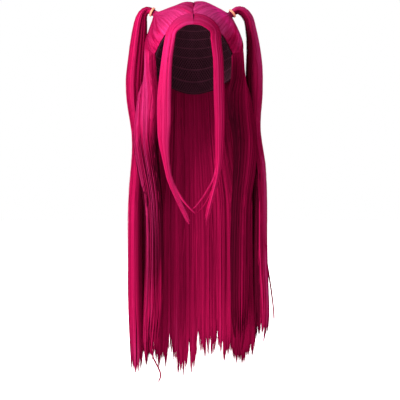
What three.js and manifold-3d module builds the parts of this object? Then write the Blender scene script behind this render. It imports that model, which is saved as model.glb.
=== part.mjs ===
// Long straight wig in half-up style: a net cap, hair swept from a centre part to two tied ponytails, two
// front locks, loose hair beside the ears and a long back with a ragged hem.
//
// Millimetres, +Z up, the face looks along -Y. The origin is the point inside the cap that sits on the top of
// the head. Left is -X, as seen from in front.

import * as THREE from 'three';
import { LoftGeometry } from 'three/addons/geometries/LoftGeometry.js';
import { mergeVertices } from 'three/addons/utils/BufferGeometryUtils.js';
import Module from 'manifold-3d';

const wasm = await Module();
wasm.setup();

// Head that the cap fits: half sizes of an egg, from its widest level.
const HEAD = { halfWidth: 75, halfLength: 95, crownHeight: 95, lowerDepth: 130 };

const CAP_WALL = 1.5;
const GAP = 0.4; // between neighbouring pieces
const PART_GAP = 1.8; // bare line between the two halves of the crown
const HAIR_BASE = CAP_WALL + GAP; // height over the head where the hair starts

const CAP_COLUMNS = 36;
const CAP_ROWS = 9;
const ROUND_STEPS = 10; // points round a lock of hair
const BACK_COLUMNS = 36;
const BACK_ROWS = 12;

const LEFT = -1;
const RIGHT = 1;

// Rim of the cap: drop below the top of the head at each turn from the front.
const CAP_RIM = [
  { turn: 0, drop: 43 },
  { turn: 25, drop: 48 },
  { turn: 45, drop: 64 },
  { turn: 62, drop: 92 },
  { turn: 78, drop: 116 },
  { turn: 100, drop: 130 },
  { turn: 125, drop: 140 },
  { turn: 155, drop: 154 },
  { turn: 180, drop: 160 },
];

// Outline of the scalp whose hair goes to one tie, from the front of the part round the side and back.
// edge and body are the height of the hair at the outline and half way to the tie.
const CROWN_OUTLINE = [
  { turn: 0, drop: 24, edge: 5, body: 9 },
  { turn: 24, drop: 29, edge: 5, body: 9 },
  { turn: 37, drop: 44, edge: 5, body: 9 },
  { turn: 48, drop: 63, edge: 6, body: 11 },
  { turn: 64, drop: 89, edge: 8, body: 14 },
  { turn: 86, drop: 99, edge: 13, body: 17 },
  { turn: 108, drop: 97, edge: 12, body: 15 },
  { turn: 132, drop: 86, edge: 9, body: 12 },
  { turn: 156, drop: 74, edge: 8, body: 10 },
  { turn: 180, drop: 68, edge: 6, body: 9 },
  { turn: 180, drop: 36, edge: 5, body: 9 },
  { turn: 180, drop: 12, edge: 4, body: 9 },
  { turn: 180, drop: 0.5, edge: 4, body: 10 },
  { turn: 0, drop: 9, edge: 4, body: 9 },
];
const CROWN_STEPS = [0.07, 0.16, 0.27, 0.4, 0.54, 0.68, 0.82, 0.93, 1];
const CROWN_FLOOR_STEPS = [1, 0.72, 0.44, 0.2, 0];
const CROWN_PULL = 0.62; // share of the way from tie to outline over which the hair leaves the head

// Elastic ties: where each sits and which way the tail leaves it.
const TIE = { hairRadius: 6.4, clearance: 0.55, wall: 2.3, width: 5, wraps: 3, groove: 0.7, neck: 5.5 };
const TIE_SEATS = {
  left: { x: -78.5, y: 22, z: -9.4, alongX: -0.86, alongY: 0.15, alongZ: 0.48 },
  right: { x: 72, y: 22, z: -12, alongX: 0.77, alongY: 0.15, alongZ: 0.62 },
};

// Ponytails beyond their ties. width lies across the front view and thick from front to back.
const PONYTAIL_LEFT = [
  { x: -91, y: 24.3, z: -7.5, width: 15.5, thick: 16 },
  { x: -98, y: 26, z: -17, width: 20, thick: 20 },
  { x: -102, y: 28, z: -33, width: 24, thick: 23 },
  { x: -106, y: 32, z: -63, width: 28, thick: 26 },
  { x: -109, y: 38, z: -101, width: 29, thick: 28 },
  { x: -113, y: 44, z: -137, width: 30, thick: 29 },
  { x: -112.5, y: 50, z: -175, width: 29, thick: 29 },
  { x: -109, y: 56, z: -212, width: 28, thick: 28 },
  { x: -105, y: 62, z: -250, width: 27, thick: 26 },
  { x: -108, y: 68, z: -300, width: 27, thick: 25 },
  { x: -114, y: 72, z: -366, width: 27, thick: 26 },
  { x: -114.5, y: 73, z: -462, width: 28, thick: 27 },
  { x: -114, y: 73, z: -559, width: 29, thick: 26 },
  { x: -112, y: 73, z: -636, width: 26, thick: 22 },
  { x: -112, y: 73, z: -672, width: 17, thick: 13 },
  { x: -113, y: 73, z: -694, width: 5, thick: 4 },
];
const PONYTAIL_RIGHT = [
  { x: 83, y: 24, z: -6, width: 15, thick: 15 },
  { x: 93, y: 26, z: -9.5, width: 18, thick: 18 },
  { x: 102, y: 28, z: -21, width: 19, thick: 20 },
  { x: 106, y: 30, z: -36, width: 20, thick: 22 },
  { x: 111, y: 34, z: -66, width: 24, thick: 25 },
  { x: 114.5, y: 38, z: -100, width: 28.5, thick: 28 },
  { x: 115.5, y: 43, z: -130, width: 30, thick: 29 },
  { x: 115.5, y: 50, z: -175, width: 29, thick: 29 },
  { x: 113, y: 56, z: -212, width: 27, thick: 28 },
  { x: 115.5, y: 62, z: -250, width: 27, thick: 26 },
  { x: 124, y: 68, z: -300, width: 28, thick: 25 },
  { x: 127, y: 72, z: -366, width: 28, thick: 26 },
  { x: 126.5, y: 73, z: -462, width: 28, thick: 27 },
  { x: 128, y: 73, z: -550, width: 29, thick: 26 },
  { x: 129, y: 73, z: -596, width: 26, thick: 22 },
  { x: 130, y: 73, z: -622, width: 16, thick: 13 },
  { x: 131, y: 73, z: -640, width: 5, thick: 4 },
];

// Front locks: first along the hairline on the head, then falling free. face turns the broad side outwards.
const LOCK_BAND = [
  { turn: 1, drop: 36.5, width: 27, thick: 6 },
  { turn: 13, drop: 38, width: 26, thick: 7 },
  { turn: 25, drop: 44.5, width: 24, thick: 7.5 },
  { turn: 33, drop: 56, width: 20, thick: 8 },
];
const LOCK_LEFT = [
  { x: -43.5, y: -81, z: -72, width: 19, thick: 8, face: 24 },
  { x: -48, y: -83, z: -107, width: 21, thick: 9, face: 20 },
  { x: -51, y: -83, z: -143, width: 24, thick: 9.5, face: 18 },
  { x: -53, y: -82, z: -179, width: 27, thick: 10, face: 16 },
  { x: -53, y: -80, z: -215, width: 27, thick: 10, face: 14 },
  { x: -53.5, y: -79, z: -251, width: 22, thick: 9.5, face: 12 },
  { x: -49.5, y: -79, z: -287, width: 13.5, thick: 9, face: 10 },
  { x: -42.5, y: -82, z: -323, width: 10.5, thick: 7.5, face: 8 },
  { x: -27, y: -88, z: -359, width: 11, thick: 6, face: 5 },
  { x: -14, y: -94, z: -387, width: 7, thick: 4, face: 2 },
  { x: -8, y: -96, z: -400, width: 3, thick: 2, face: 0 },
];
const LOCK_RIGHT = [
  { x: 40, y: -82, z: -72, width: 19, thick: 8, face: 22 },
  { x: 44, y: -83, z: -107, width: 19, thick: 9, face: 18 },
  { x: 45, y: -83, z: -143, width: 19.5, thick: 9.5, face: 16 },
  { x: 46, y: -82, z: -179, width: 20, thick: 9.5, face: 14 },
  { x: 47, y: -80, z: -215, width: 18.5, thick: 9.5, face: 12 },
  { x: 46.5, y: -79, z: -251, width: 17, thick: 9, face: 10 },
  { x: 45.4, y: -79, z: -287, width: 14, thick: 8.5, face: 8 },
  { x: 42, y: -81, z: -316, width: 10, thick: 7.5, face: 6 },
  { x: 35, y: -86, z: -341, width: 11, thick: 6, face: 4 },
  { x: 26, y: -93, z: -378, width: 7, thick: 4, face: 2 },
  { x: 21.5, y: -96, z: -402, width: 3, thick: 2, face: 0 },
];

// Loose hair beside the ear. bow bends the section round the head, face turns its broad side outwards.
const SIDE_LEFT = [
  { x: -82.5, y: -3, z: -102, width: 76, thick: 12, face: 88, bow: 7 },
  { x: -86, y: -2, z: -135, width: 70, thick: 13, face: 74, bow: 7 },
  { x: -86, y: 4, z: -165, width: 60, thick: 14, face: 52, bow: 5 },
  { x: -90, y: 18, z: -205, width: 54, thick: 14, face: 32, bow: 4 },
  { x: -93, y: 32, z: -250, width: 50, thick: 14, face: 20, bow: 3 },
  { x: -88, y: 43, z: -300, width: 44, thick: 13, face: 12, bow: 2 },
  { x: -79, y: 52, z: -366, width: 36, thick: 12, face: 8, bow: 1 },
  { x: -77, y: 58, z: -460, width: 36, thick: 12, face: 5, bow: 1 },
  { x: -76, y: 60, z: -560, width: 34, thick: 10, face: 5, bow: 1 },
  { x: -76, y: 61, z: -636, width: 24, thick: 7, face: 5, bow: 0 },
  { x: -77, y: 61, z: -668, width: 7, thick: 3, face: 5, bow: 0 },
];
const SIDE_RIGHT = [
  { x: 82.5, y: -3, z: -102, width: 76, thick: 12, face: 88, bow: 7 },
  { x: 86, y: -2, z: -135, width: 70, thick: 13, face: 74, bow: 7 },
  { x: 87, y: 4, z: -165, width: 60, thick: 14, face: 52, bow: 5 },
  { x: 92, y: 18, z: -205, width: 54, thick: 14, face: 32, bow: 4 },
  { x: 98, y: 32, z: -250, width: 50, thick: 14, face: 20, bow: 3 },
  { x: 97, y: 43, z: -300, width: 44, thick: 13, face: 12, bow: 2 },
  { x: 91, y: 52, z: -366, width: 38, thick: 12, face: 8, bow: 1 },
  { x: 89, y: 58, z: -460, width: 38, thick: 12, face: 5, bow: 1 },
  { x: 88, y: 60, z: -560, width: 36, thick: 10, face: 5, bow: 1 },
  { x: 88, y: 61, z: -628, width: 24, thick: 7, face: 5, bow: 0 },
  { x: 88, y: 61, z: -660, width: 7, thick: 3, face: 5, bow: 0 },
];

// Back hair on the cap: top line and thickness, then the hanging sheet level by level. A bend below 1 makes
// the sheet more of a U, seen from above, so that its sides come further round to the front.
const BACK_TURN = 64; // half of the turn round the head that the back hair takes up
const BACK_TOP = [
  { turn: 116, drop: 99, thick: 9 },
  { turn: 132, drop: 91, thick: 9 },
  { turn: 156, drop: 79, thick: 8 },
  { turn: 180, drop: 73, thick: 7 },
];
const BACK_LEVELS = [
  { level: -118, middle: 0, half: 77, sideY: 40, backY: 105, thick: 13, bend: 1 },
  { level: -140, middle: 0, half: 80, sideY: 40, backY: 107, thick: 15, bend: 0.92 },
  { level: -175, middle: 1, half: 84, sideY: 42, backY: 109, thick: 16, bend: 0.7 },
  { level: -212, middle: 2, half: 86, sideY: 48, backY: 110, thick: 16, bend: 0.5 },
  { level: -250, middle: 3, half: 89, sideY: 60, backY: 110, thick: 16, bend: 0.5 },
  { level: -300, middle: 5, half: 98, sideY: 80, backY: 111, thick: 16, bend: 0.6 },
  { level: -366, middle: 7, half: 110, sideY: 97, backY: 111, thick: 15, bend: 1 },
  { level: -460, middle: 8, half: 112, sideY: 98, backY: 111, thick: 14, bend: 1 },
  { level: -560, middle: 8, half: 112, sideY: 98, backY: 110, thick: 12, bend: 1 },
  { level: -640, middle: 8, half: 111, sideY: 98, backY: 108, thick: 8, bend: 1 },
  { level: -710, middle: 8, half: 110, sideY: 98, backY: 107, thick: 4, bend: 1 },
];
const BACK_LOCKS = { count: 9, relief: 2.2 }; // ridges of hair across the back

// Hem of the back hair: where each point and notch comes, and how low.
const BACK_HEM = [
  { x: -106, end: -650 },
  { x: -88, end: -687 },
  { x: -80, end: -650 },
  { x: -74, end: -665 },
  { x: -67, end: -655 },
  { x: -57, end: -677 },
  { x: -39, end: -634 },
  { x: -29, end: -700 },
  { x: -12, end: -705 },
  { x: 10, end: -655 },
  { x: 37, end: -668 },
  { x: 48, end: -630 },
  { x: 61, end: -677 },
  { x: 72, end: -652 },
  { x: 84, end: -682 },
  { x: 94, end: -683 },
  { x: 108, end: -673 },
  { x: 120, end: -635 },
];

const HAIR_COLOR = 0xc4125c;
const CAP_COLOR = 0x2b1420;
const TIE_COLOR = 0xe8a06a;

const HEAD_MIDDLE = new THREE.Vector3(0, 0, -HEAD.crownHeight);
const toRadians = THREE.MathUtils.degToRad;

function range(count) {
  return Array.from({ length: count }, (_, index) => index);
}

// Value between b and c on a smooth curve that also heeds a before and d after.
function smoothBetween(a, b, c, d, t) {
  const slopeB = (c - a) / 2;
  const slopeC = (d - b) / 2;
  const t2 = t * t;
  const t3 = t2 * t;
  return (2 * t3 - 3 * t2 + 1) * b + (t3 - 2 * t2 + t) * slopeB + (3 * t2 - 2 * t3) * c + (t3 - t2) * slopeC;
}

// Table with more rows, each column on a smooth curve through the given rows.
function refine(table, steps, closed = false) {
  const last = table.length - 1;
  const rowAt = (index) => (closed ? table.at(index % table.length) : table[THREE.MathUtils.clamp(index, 0, last)]);
  const rows = [];
  for (let row = 0; row < (closed ? table.length : last); row++) {
    for (let step = 0; step < steps; step++) {
      const near = [row - 1, row, row + 1, row + 2].map(rowAt);
      const columns = Object.keys(table[0]);
      const values = columns.map((key) => smoothBetween(...near.map((other) => other[key]), step / steps));
      rows.push(Object.fromEntries(columns.map((key, index) => [key, values[index]])));
    }
  }
  return closed ? rows : [...rows, table[last]];
}

// Row of a table at one value of its key column, straight between its neighbours.
function lookUp(table, key, value) {
  const rising = table.at(-1)[key] > table[0][key];
  const past = table.findIndex((row) => (rising ? row[key] >= value : row[key] <= value));
  if (past <= 0) return past === 0 ? table[0] : table.at(-1);
  const [before, after] = [table[past - 1], table[past]];
  const share = (value - before[key]) / (after[key] - before[key]);
  const mix = (name) => THREE.MathUtils.lerp(before[name], after[name], share);
  return Object.fromEntries(Object.keys(before).map((name) => [name, mix(name)]));
}

// Point on the head in a direction from its middle, lifted off it by a height.
function onHead(direction, lift) {
  const depth = direction.z > 0 ? HEAD.crownHeight : HEAD.lowerDepth;
  const reach = 1 / Math.hypot(
    direction.x / (HEAD.halfWidth + lift),
    direction.y / (HEAD.halfLength + lift),
    direction.z / (depth + lift),
  );
  return HEAD_MIDDLE.clone().addScaledVector(direction, reach);
}

// Direction from the middle of the head to a drop below its top, at a turn from the front.
function headDirection(turn, drop) {
  const level = HEAD.crownHeight - drop;
  const ring = Math.sqrt(1 - (level / (level > 0 ? HEAD.crownHeight : HEAD.lowerDepth)) ** 2);
  const angle = toRadians(turn);
  return new THREE.Vector3(HEAD.halfWidth * ring * Math.sin(angle), -HEAD.halfLength * ring * Math.cos(angle), level);
}

// Way out of the head at a point.
function headNormal(point) {
  const level = Math.max(point.z - HEAD_MIDDLE.z, 0);
  return new THREE.Vector3(
    point.x / HEAD.halfWidth ** 2,
    point.y / HEAD.halfLength ** 2,
    level / HEAD.crownHeight ** 2,
  ).normalize();
}

// Solid through a row of closed sections. A section shrunk to a point needs no lid.
function loft(sections, lids) {
  const geometry = new LoftGeometry(sections, lids);
  const position = geometry.getAttribute('position');
  const faces = geometry.index.array;
  const triangle = new THREE.Triangle();
  const kept = [];
  for (let face = 0; face < faces.length; face += 3) {
    triangle.setFromAttributeAndIndices(position, faces[face], faces[face + 1], faces[face + 2]);
    if (triangle.getArea() > 1e-6) kept.push(faces[face], faces[face + 1], faces[face + 2]);
  }
  geometry.setIndex(kept);
  return geometry;
}

// Oval sections of a lock of hair, square to its run.
function lockSections(stations) {
  return stations.map((station, index) => {
    const before = stations[Math.max(index - 1, 0)].centre;
    const after = stations[Math.min(index + 1, stations.length - 1)].centre;
    const along = after.clone().sub(before).normalize();
    const out = station.normal.clone().addScaledVector(along, -station.normal.dot(along)).normalize();
    const across = out.clone().cross(along);
    return range(ROUND_STEPS).map((step) => {
      const angle = (2 * Math.PI * step) / ROUND_STEPS;
      const bend = station.bow * Math.cos(angle) ** 2;
      return station.centre.clone()
        .addScaledVector(across, (station.width / 2) * Math.cos(angle))
        .addScaledVector(out, (station.thick / 2) * Math.sin(angle) - bend);
    });
  });
}

// Stations of a lock from numeric rows that hold its centre and the way its broad side faces.
function toStations(rows) {
  return rows.map((row) => ({
    centre: new THREE.Vector3(row.x, row.y, row.z),
    normal: new THREE.Vector3(row.outX, row.outY, row.outZ),
    width: row.width,
    thick: row.thick,
    bow: row.bow,
  }));
}

// Row of a hanging lock with its facing as a direction.
function facingRow(row, side) {
  const angle = toRadians(row.face ?? 0);
  return {
    x: row.x, y: row.y, z: row.z, width: row.width, thick: row.thick, bow: row.bow ?? 0,
    outX: side * Math.sin(angle), outY: -Math.cos(angle), outZ: 0,
  };
}

// Rings of the cap from its top to a share of the way past its rim, at a height over the head.
function capRings(lift, lastShare) {
  const top = range(CAP_COLUMNS).map(() => onHead(new THREE.Vector3(0, 0, 1), lift));
  const rings = range(Math.round(CAP_ROWS * lastShare)).map((row) => range(CAP_COLUMNS).map((column) => {
    const turn = 180 - (360 * column) / CAP_COLUMNS;
    const rim = headDirection(turn, lookUp(CAP_RIM, 'turn', Math.abs(turn)).drop);
    const depth = rim.z > 0 ? HEAD.crownHeight : HEAD.lowerDepth;
    const polar = ((row + 1) / CAP_ROWS) * Math.acos(rim.z / depth);
    const level = Math.cos(polar) * (polar < Math.PI / 2 ? HEAD.crownHeight : HEAD.lowerDepth);
    return onHead(headDirection(turn, HEAD.crownHeight - level), lift);
  }));
  return [top, ...rings];
}

function capGeometry() {
  return loft([...capRings(CAP_WALL, 1), ...capRings(0, 1).reverse()]);
}

// Head and cap as one solid, grown by the gap, that the hair is cut back to.
function headForm() {
  return loft(capRings(HAIR_BASE, 1 + 2 / CAP_ROWS), { capEnd: true });
}

function toSolid(geometry) {
  const bare = new THREE.BufferGeometry().setAttribute('position', geometry.getAttribute('position'));
  const merged = mergeVertices(bare.setIndex(geometry.index), 1e-4);
  return new wasm.Manifold(new wasm.Mesh({
    numProp: 3,
    vertProperties: merged.getAttribute('position').array,
    triVerts: new Uint32Array(merged.index.array),
  }));
}

// Geometry cut back by others, without the crumbs that a cut may leave.
function cutBack(geometry, ...others) {
  const cut = others.reduce((solid, other) => solid.subtract(toSolid(other)), toSolid(geometry));
  const [largest] = cut.decompose().sort((a, b) => b.volume() - a.volume());
  const mesh = largest.getMesh();
  return new THREE.BufferGeometry()
    .setAttribute('position', new THREE.BufferAttribute(mesh.vertProperties, 3))
    .setIndex(new THREE.BufferAttribute(mesh.triVerts, 1));
}

// Hair that rises from its outline on the scalp to the neck of a tie, with a floor on the cap.
function crownGeometry(side, seat) {
  const outline = CROWN_OUTLINE.map((row) => {
    const point = headDirection(side * row.turn, row.drop);
    return { x: point.x, y: point.y, z: point.z, edge: row.edge, body: row.body };
  });
  const columns = refine(outline, 2, true);
  if (side === RIGHT) columns.reverse();

  const tie = new THREE.Vector3(seat.x, seat.y, seat.z);
  const along = new THREE.Vector3(seat.alongX, seat.alongY, seat.alongZ).normalize();
  const foot = tie.clone().sub(HEAD_MIDDLE);
  const neckPoint = (column, back) => {
    const spoke = onHead(new THREE.Vector3(column.x, column.y, column.z), 0).sub(tie);
    spoke.addScaledVector(along, -spoke.dot(along)).setLength(TIE.hairRadius);
    return tie.clone().addScaledVector(along, -back).add(spoke);
  };
  const keepToSide = (point) => {
    point.x = side * Math.max(side * point.x, PART_GAP / 2);
    return point;
  };
  const unit = (vector) => new THREE.Vector3(
    vector.x / HEAD.halfWidth,
    vector.y / HEAD.halfLength,
    vector.z / HEAD.crownHeight,
  ).normalize();
  const wayTo = (column, share) => {
    const way = unit(foot).lerp(unit(column), share);
    return new THREE.Vector3(way.x * HEAD.halfWidth, way.y * HEAD.halfLength, way.z * HEAD.crownHeight);
  };
  const tentPoint = (column, share) => {
    const height = THREE.MathUtils.lerp(column.body, column.edge, THREE.MathUtils.smoothstep(share, 0.65, 1));
    const point = keepToSide(onHead(wayTo(column, share), HAIR_BASE + height));
    const pull = 1 - THREE.MathUtils.smoothstep(share, 0, CROWN_PULL);
    return point.lerp(neckPoint(column, TIE.neck), pull);
  };
  const neck = [GAP / 2, TIE.neck].map((back) => columns.map((column) => neckPoint(column, back)));
  const tent = CROWN_STEPS.map((share) => columns.map((column) => tentPoint(column, share)));
  const floor = CROWN_FLOOR_STEPS.map((share) => columns.map((column) => keepToSide(
    onHead(wayTo(column, share), 0),
  )));
  return cutBack(loft([...neck, ...tent, ...floor], { capStart: true }), headForm());
}

// Elastic ring with a ridge for each wrap.
function tieGeometry() {
  const inner = TIE.hairRadius + TIE.clearance;
  const pointsPerWrap = 2;
  const outside = range(TIE.wraps * pointsPerWrap + 1).map((step) => {
    const dip = TIE.groove * (1 - Math.abs(Math.sin((Math.PI * step) / pointsPerWrap)));
    const height = TIE.width * (step / (TIE.wraps * pointsPerWrap) - 0.5);
    return new THREE.Vector2(inner + TIE.wall - dip, height);
  });
  const profile = [
    new THREE.Vector2(inner, -TIE.width / 2),
    ...outside,
    new THREE.Vector2(inner, TIE.width / 2),
    new THREE.Vector2(inner, -TIE.width / 2),
  ];
  return new THREE.LatheGeometry(profile, 14);
}

function ponytailGeometry(seat, table) {
  const along = new THREE.Vector3(seat.alongX, seat.alongY, seat.alongZ).normalize();
  const neck = [GAP / 2, TIE.neck].map((reach) => {
    const centre = new THREE.Vector3(seat.x, seat.y, seat.z).addScaledVector(along, reach);
    return { x: centre.x, y: centre.y, z: centre.z, width: 2 * TIE.hairRadius, thick: 2 * TIE.hairRadius };
  });
  const fall = refine(table, 2);
  const rows = [...neck, ...fall].map((row) => facingRow(row, RIGHT));
  return loft(lockSections(toStations(rows)), { capStart: true, capEnd: true });
}

function frontLockGeometry(side, table) {
  const band = LOCK_BAND.map((row) => {
    const centre = onHead(headDirection(side * row.turn, row.drop), HAIR_BASE + row.thick / 2);
    const out = headNormal(centre);
    return {
      x: centre.x, y: centre.y, z: centre.z, width: row.width, thick: row.thick, bow: 0,
      outX: out.x, outY: out.y, outZ: out.z,
    };
  });
  const rows = refine([...band, ...table.map((row) => facingRow(row, side))], 2);
  return cutBack(loft(lockSections(toStations(rows)), { capStart: true, capEnd: true }), headForm());
}

function sideHairGeometry(side, table) {
  const rows = refine(table.map((row) => facingRow(row, side)), 2);
  return cutBack(loft(lockSections(toStations(rows)), { capStart: true, capEnd: true }), headForm());
}

function backHairGeometry() {
  const across = range(BACK_COLUMNS + 1).map((column) => (2 * column) / BACK_COLUMNS - 1);
  const levels = refine(BACK_LEVELS, 3);
  const ridge = (share) => BACK_LOCKS.relief * Math.cos(Math.PI * BACK_LOCKS.count * share);
  const edgeFade = (share) => 1 - 0.55 * share ** 4;

  // Inside and outside points of the hair that lies on the cap.
  const rootRow = (down) => {
    return across.map((share) => {
      const turn = 180 - BACK_TURN * Math.abs(share);
      const top = lookUp(BACK_TOP, 'turn', turn);
      const drop = THREE.MathUtils.lerp(top.drop, 104, down);
      const way = headDirection(share < 0 ? -turn : turn, drop);
      const thick = THREE.MathUtils.lerp(top.thick, 12, down) * edgeFade(share);
      return { inside: onHead(way, 0), outside: onHead(way, HAIR_BASE + thick) };
    });
  };

  // Inside and outside points of the hanging sheet, a share of the way from its top level to the hem.
  const sheetRow = (down) => across.map((share) => {
    const angle = toRadians(BACK_TURN) * share;
    const sine = Math.sin(angle) / Math.sin(toRadians(BACK_TURN));
    const edgeCosine = Math.cos(toRadians(BACK_TURN));
    const cosine = Math.max(0, (Math.cos(angle) - edgeCosine) / (1 - edgeCosine));
    const low = BACK_LEVELS.at(-1);
    const hem = lookUp(BACK_HEM, 'x', low.middle + low.half * sine).end;
    const z = THREE.MathUtils.lerp(BACK_LEVELS[0].level, hem, down);
    const row = lookUp(levels, 'level', z);
    const y = THREE.MathUtils.lerp(row.sideY, row.backY, cosine ** row.bend);
    const centre = new THREE.Vector3(row.middle + row.half * sine, y, z);
    const out = new THREE.Vector3(Math.sin(angle), Math.cos(angle), 0);
    const thick = row.thick * edgeFade(share);
    const shift = ridge(share) * Math.min(1, 3 * down) * (thick / 16);
    return {
      inside: centre.clone().addScaledVector(out, shift - thick / 2),
      outside: centre.clone().addScaledVector(out, shift + thick / 2),
    };
  });

  // Each section runs down the inside and back up the outside, and the sections go from left to right.
  const rows = [
    ...[0, 0.5, 1].map(rootRow),
    ...range(BACK_ROWS + 1).map((row) => sheetRow(row / BACK_ROWS)),
  ];
  const sections = across.map((_, column) => [
    ...rows.map((row) => row[column].inside),
    ...rows.toReversed().map((row) => row[column].outside),
  ]);
  return cutBack(loft(sections, { capStart: true, capEnd: true }), headForm());
}

function piece(name, geometry, color, roughness) {
  const mesh = new THREE.Mesh(geometry, new THREE.MeshStandardMaterial({ color, roughness, metalness: 0 }));
  mesh.name = name;
  return mesh;
}

function hair(name, geometry) {
  return piece(name, geometry, HAIR_COLOR, 0.45);
}

function tie(name, seat) {
  const mesh = piece(name, tieGeometry(), TIE_COLOR, 0.5);
  const along = new THREE.Vector3(seat.alongX, seat.alongY, seat.alongZ).normalize();
  mesh.position.set(seat.x, seat.y, seat.z);
  mesh.quaternion.setFromUnitVectors(new THREE.Vector3(0, 1, 0), along);
  return mesh;
}

const wig = new THREE.Group();
wig.name = 'twin_ponytail_wig';
wig.add(
  piece('wig_cap', capGeometry(), CAP_COLOR, 0.8),
  hair('crown_left', crownGeometry(LEFT, TIE_SEATS.left)),
  hair('crown_right', crownGeometry(RIGHT, TIE_SEATS.right)),
  tie('hair_tie_left', TIE_SEATS.left),
  tie('hair_tie_right', TIE_SEATS.right),
  hair('ponytail_left', ponytailGeometry(TIE_SEATS.left, PONYTAIL_LEFT)),
  hair('ponytail_right', ponytailGeometry(TIE_SEATS.right, PONYTAIL_RIGHT)),
  hair('front_lock_left', frontLockGeometry(LEFT, LOCK_LEFT)),
  hair('front_lock_right', frontLockGeometry(RIGHT, LOCK_RIGHT)),
  hair('side_hair_left', sideHairGeometry(LEFT, SIDE_LEFT)),
  hair('side_hair_right', sideHairGeometry(RIGHT, SIDE_RIGHT)),
  hair('back_hair', backHairGeometry()),
);

export default wig;
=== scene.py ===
"""Long straight wig in half-up style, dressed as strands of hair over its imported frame.

Shapes are worked out in millimetres, with +Z up and the face towards -Y, and the origin at the top of the
head inside the cap. Left is -X, as seen from in front. Meshes are made in metres.
"""

import logging
import math
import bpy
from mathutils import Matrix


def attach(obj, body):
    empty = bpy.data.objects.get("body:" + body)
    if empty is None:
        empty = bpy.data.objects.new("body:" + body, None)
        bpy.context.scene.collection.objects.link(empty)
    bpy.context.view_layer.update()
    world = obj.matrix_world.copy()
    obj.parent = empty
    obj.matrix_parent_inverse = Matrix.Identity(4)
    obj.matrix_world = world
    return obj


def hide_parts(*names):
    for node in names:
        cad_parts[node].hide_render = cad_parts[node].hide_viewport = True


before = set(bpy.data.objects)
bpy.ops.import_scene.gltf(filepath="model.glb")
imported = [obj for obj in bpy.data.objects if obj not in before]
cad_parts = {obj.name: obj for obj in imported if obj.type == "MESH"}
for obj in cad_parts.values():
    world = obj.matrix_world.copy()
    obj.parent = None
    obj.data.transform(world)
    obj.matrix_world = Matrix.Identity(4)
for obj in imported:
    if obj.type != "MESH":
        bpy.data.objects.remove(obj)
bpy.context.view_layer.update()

import zlib
from abc import ABC, abstractmethod
from dataclasses import dataclass, field, replace
from enum import Enum

import bpy
import numpy as np
from mathutils import Vector

Array = np.ndarray
Random = np.random.Generator
Socket = bpy.types.NodeSocket
Color = tuple[float, float, float]
Place = tuple[float, float, float]
Pair = tuple[float, float]
Tones = tuple[Pair, ...]
Stops = tuple[tuple[float, Color], ...]
Valleys = tuple[tuple[int, float], ...]
Table = list[tuple[float, ...]]

LOG = logging.getLogger("wig")

MM = 0.001
TINY = 1e-9
UV_NAME = "OFBake"
BODY = "root"

# Wall of the cap, height of the hair's base over the head, and least height of a strand over the head.
CAP_WALL = 1.5
HAIR_BASE = 1.9
HAIR_FOOT = HAIR_BASE + 0.3

# Width of the part in the strands, and in the layer under them.
PART_GAP = 0.7
PART_SEAM = 0.1


class Side(Enum):
    """Half of the wig, as seen from in front."""

    LEFT = -1
    RIGHT = 1


class Face(Enum):
    """Face of the back hair that strands lie on."""

    OUTER = 1
    INNER = -1


class Slot(Enum):
    """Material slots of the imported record."""

    HAIR = "hair"
    NET = "net_cap"
    ELASTIC = "elastic"


def ease(value: Array, low: float | Array, high: float | Array) -> Array:
    """Smooth step from 0 at low to 1 at high."""
    share = np.clip((value - low) / (high - low), 0, 1)
    return share * share * (3 - 2 * share)


def unit(vectors: Array) -> Array:
    """Vectors scaled to length 1."""
    return vectors / np.maximum(np.linalg.norm(vectors, axis=-1, keepdims=True), TINY)


def dot(first: Array, second: Array) -> Array:
    """Scalar products of two rows of vectors, with the last axis kept."""
    return np.sum(first * second, axis=-1, keepdims=True)


def face_inwards(corners: Array, outward: Array) -> bool:
    """Whether faces of four corners point, on the whole, against the ways out at them."""
    facing = np.cross(corners[:, 2] - corners[:, 0], corners[:, 3] - corners[:, 1])
    return bool(np.sum(facing * outward) < 0)


def random_for(name: str) -> Random:
    """Random numbers that are the same for a name in each run."""
    return np.random.default_rng(zlib.crc32(name.encode()))


def add_object(name: str, data: bpy.types.ID) -> bpy.types.Object:
    """Makes an object of a mesh, light or camera in the scene.

    Args:
        name: Name of the object.
        data: The mesh, light or camera.

    Returns:
        The new object.
    """
    made = bpy.data.objects.new(name, data)
    bpy.context.scene.collection.objects.link(made)
    return made


def oval_sides(first: Array, second: Array, halves: Pair, around: int) -> Array:
    """Offsets of the points of ovals from their centres.

    Args:
        first: Way from each centre along one half size.
        second: Way along the other, or one way for all.
        halves: The two half sizes.
        around: Number of points.

    Returns:
        Offsets, centres by points by X, Y and Z.
    """
    angle = np.linspace(0, 2 * math.pi, around, endpoint=False)[:, None]
    along_first = first[..., None, :] * (halves[0] * np.cos(angle))
    return along_first + second[..., None, :] * (halves[1] * np.sin(angle))


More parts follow.
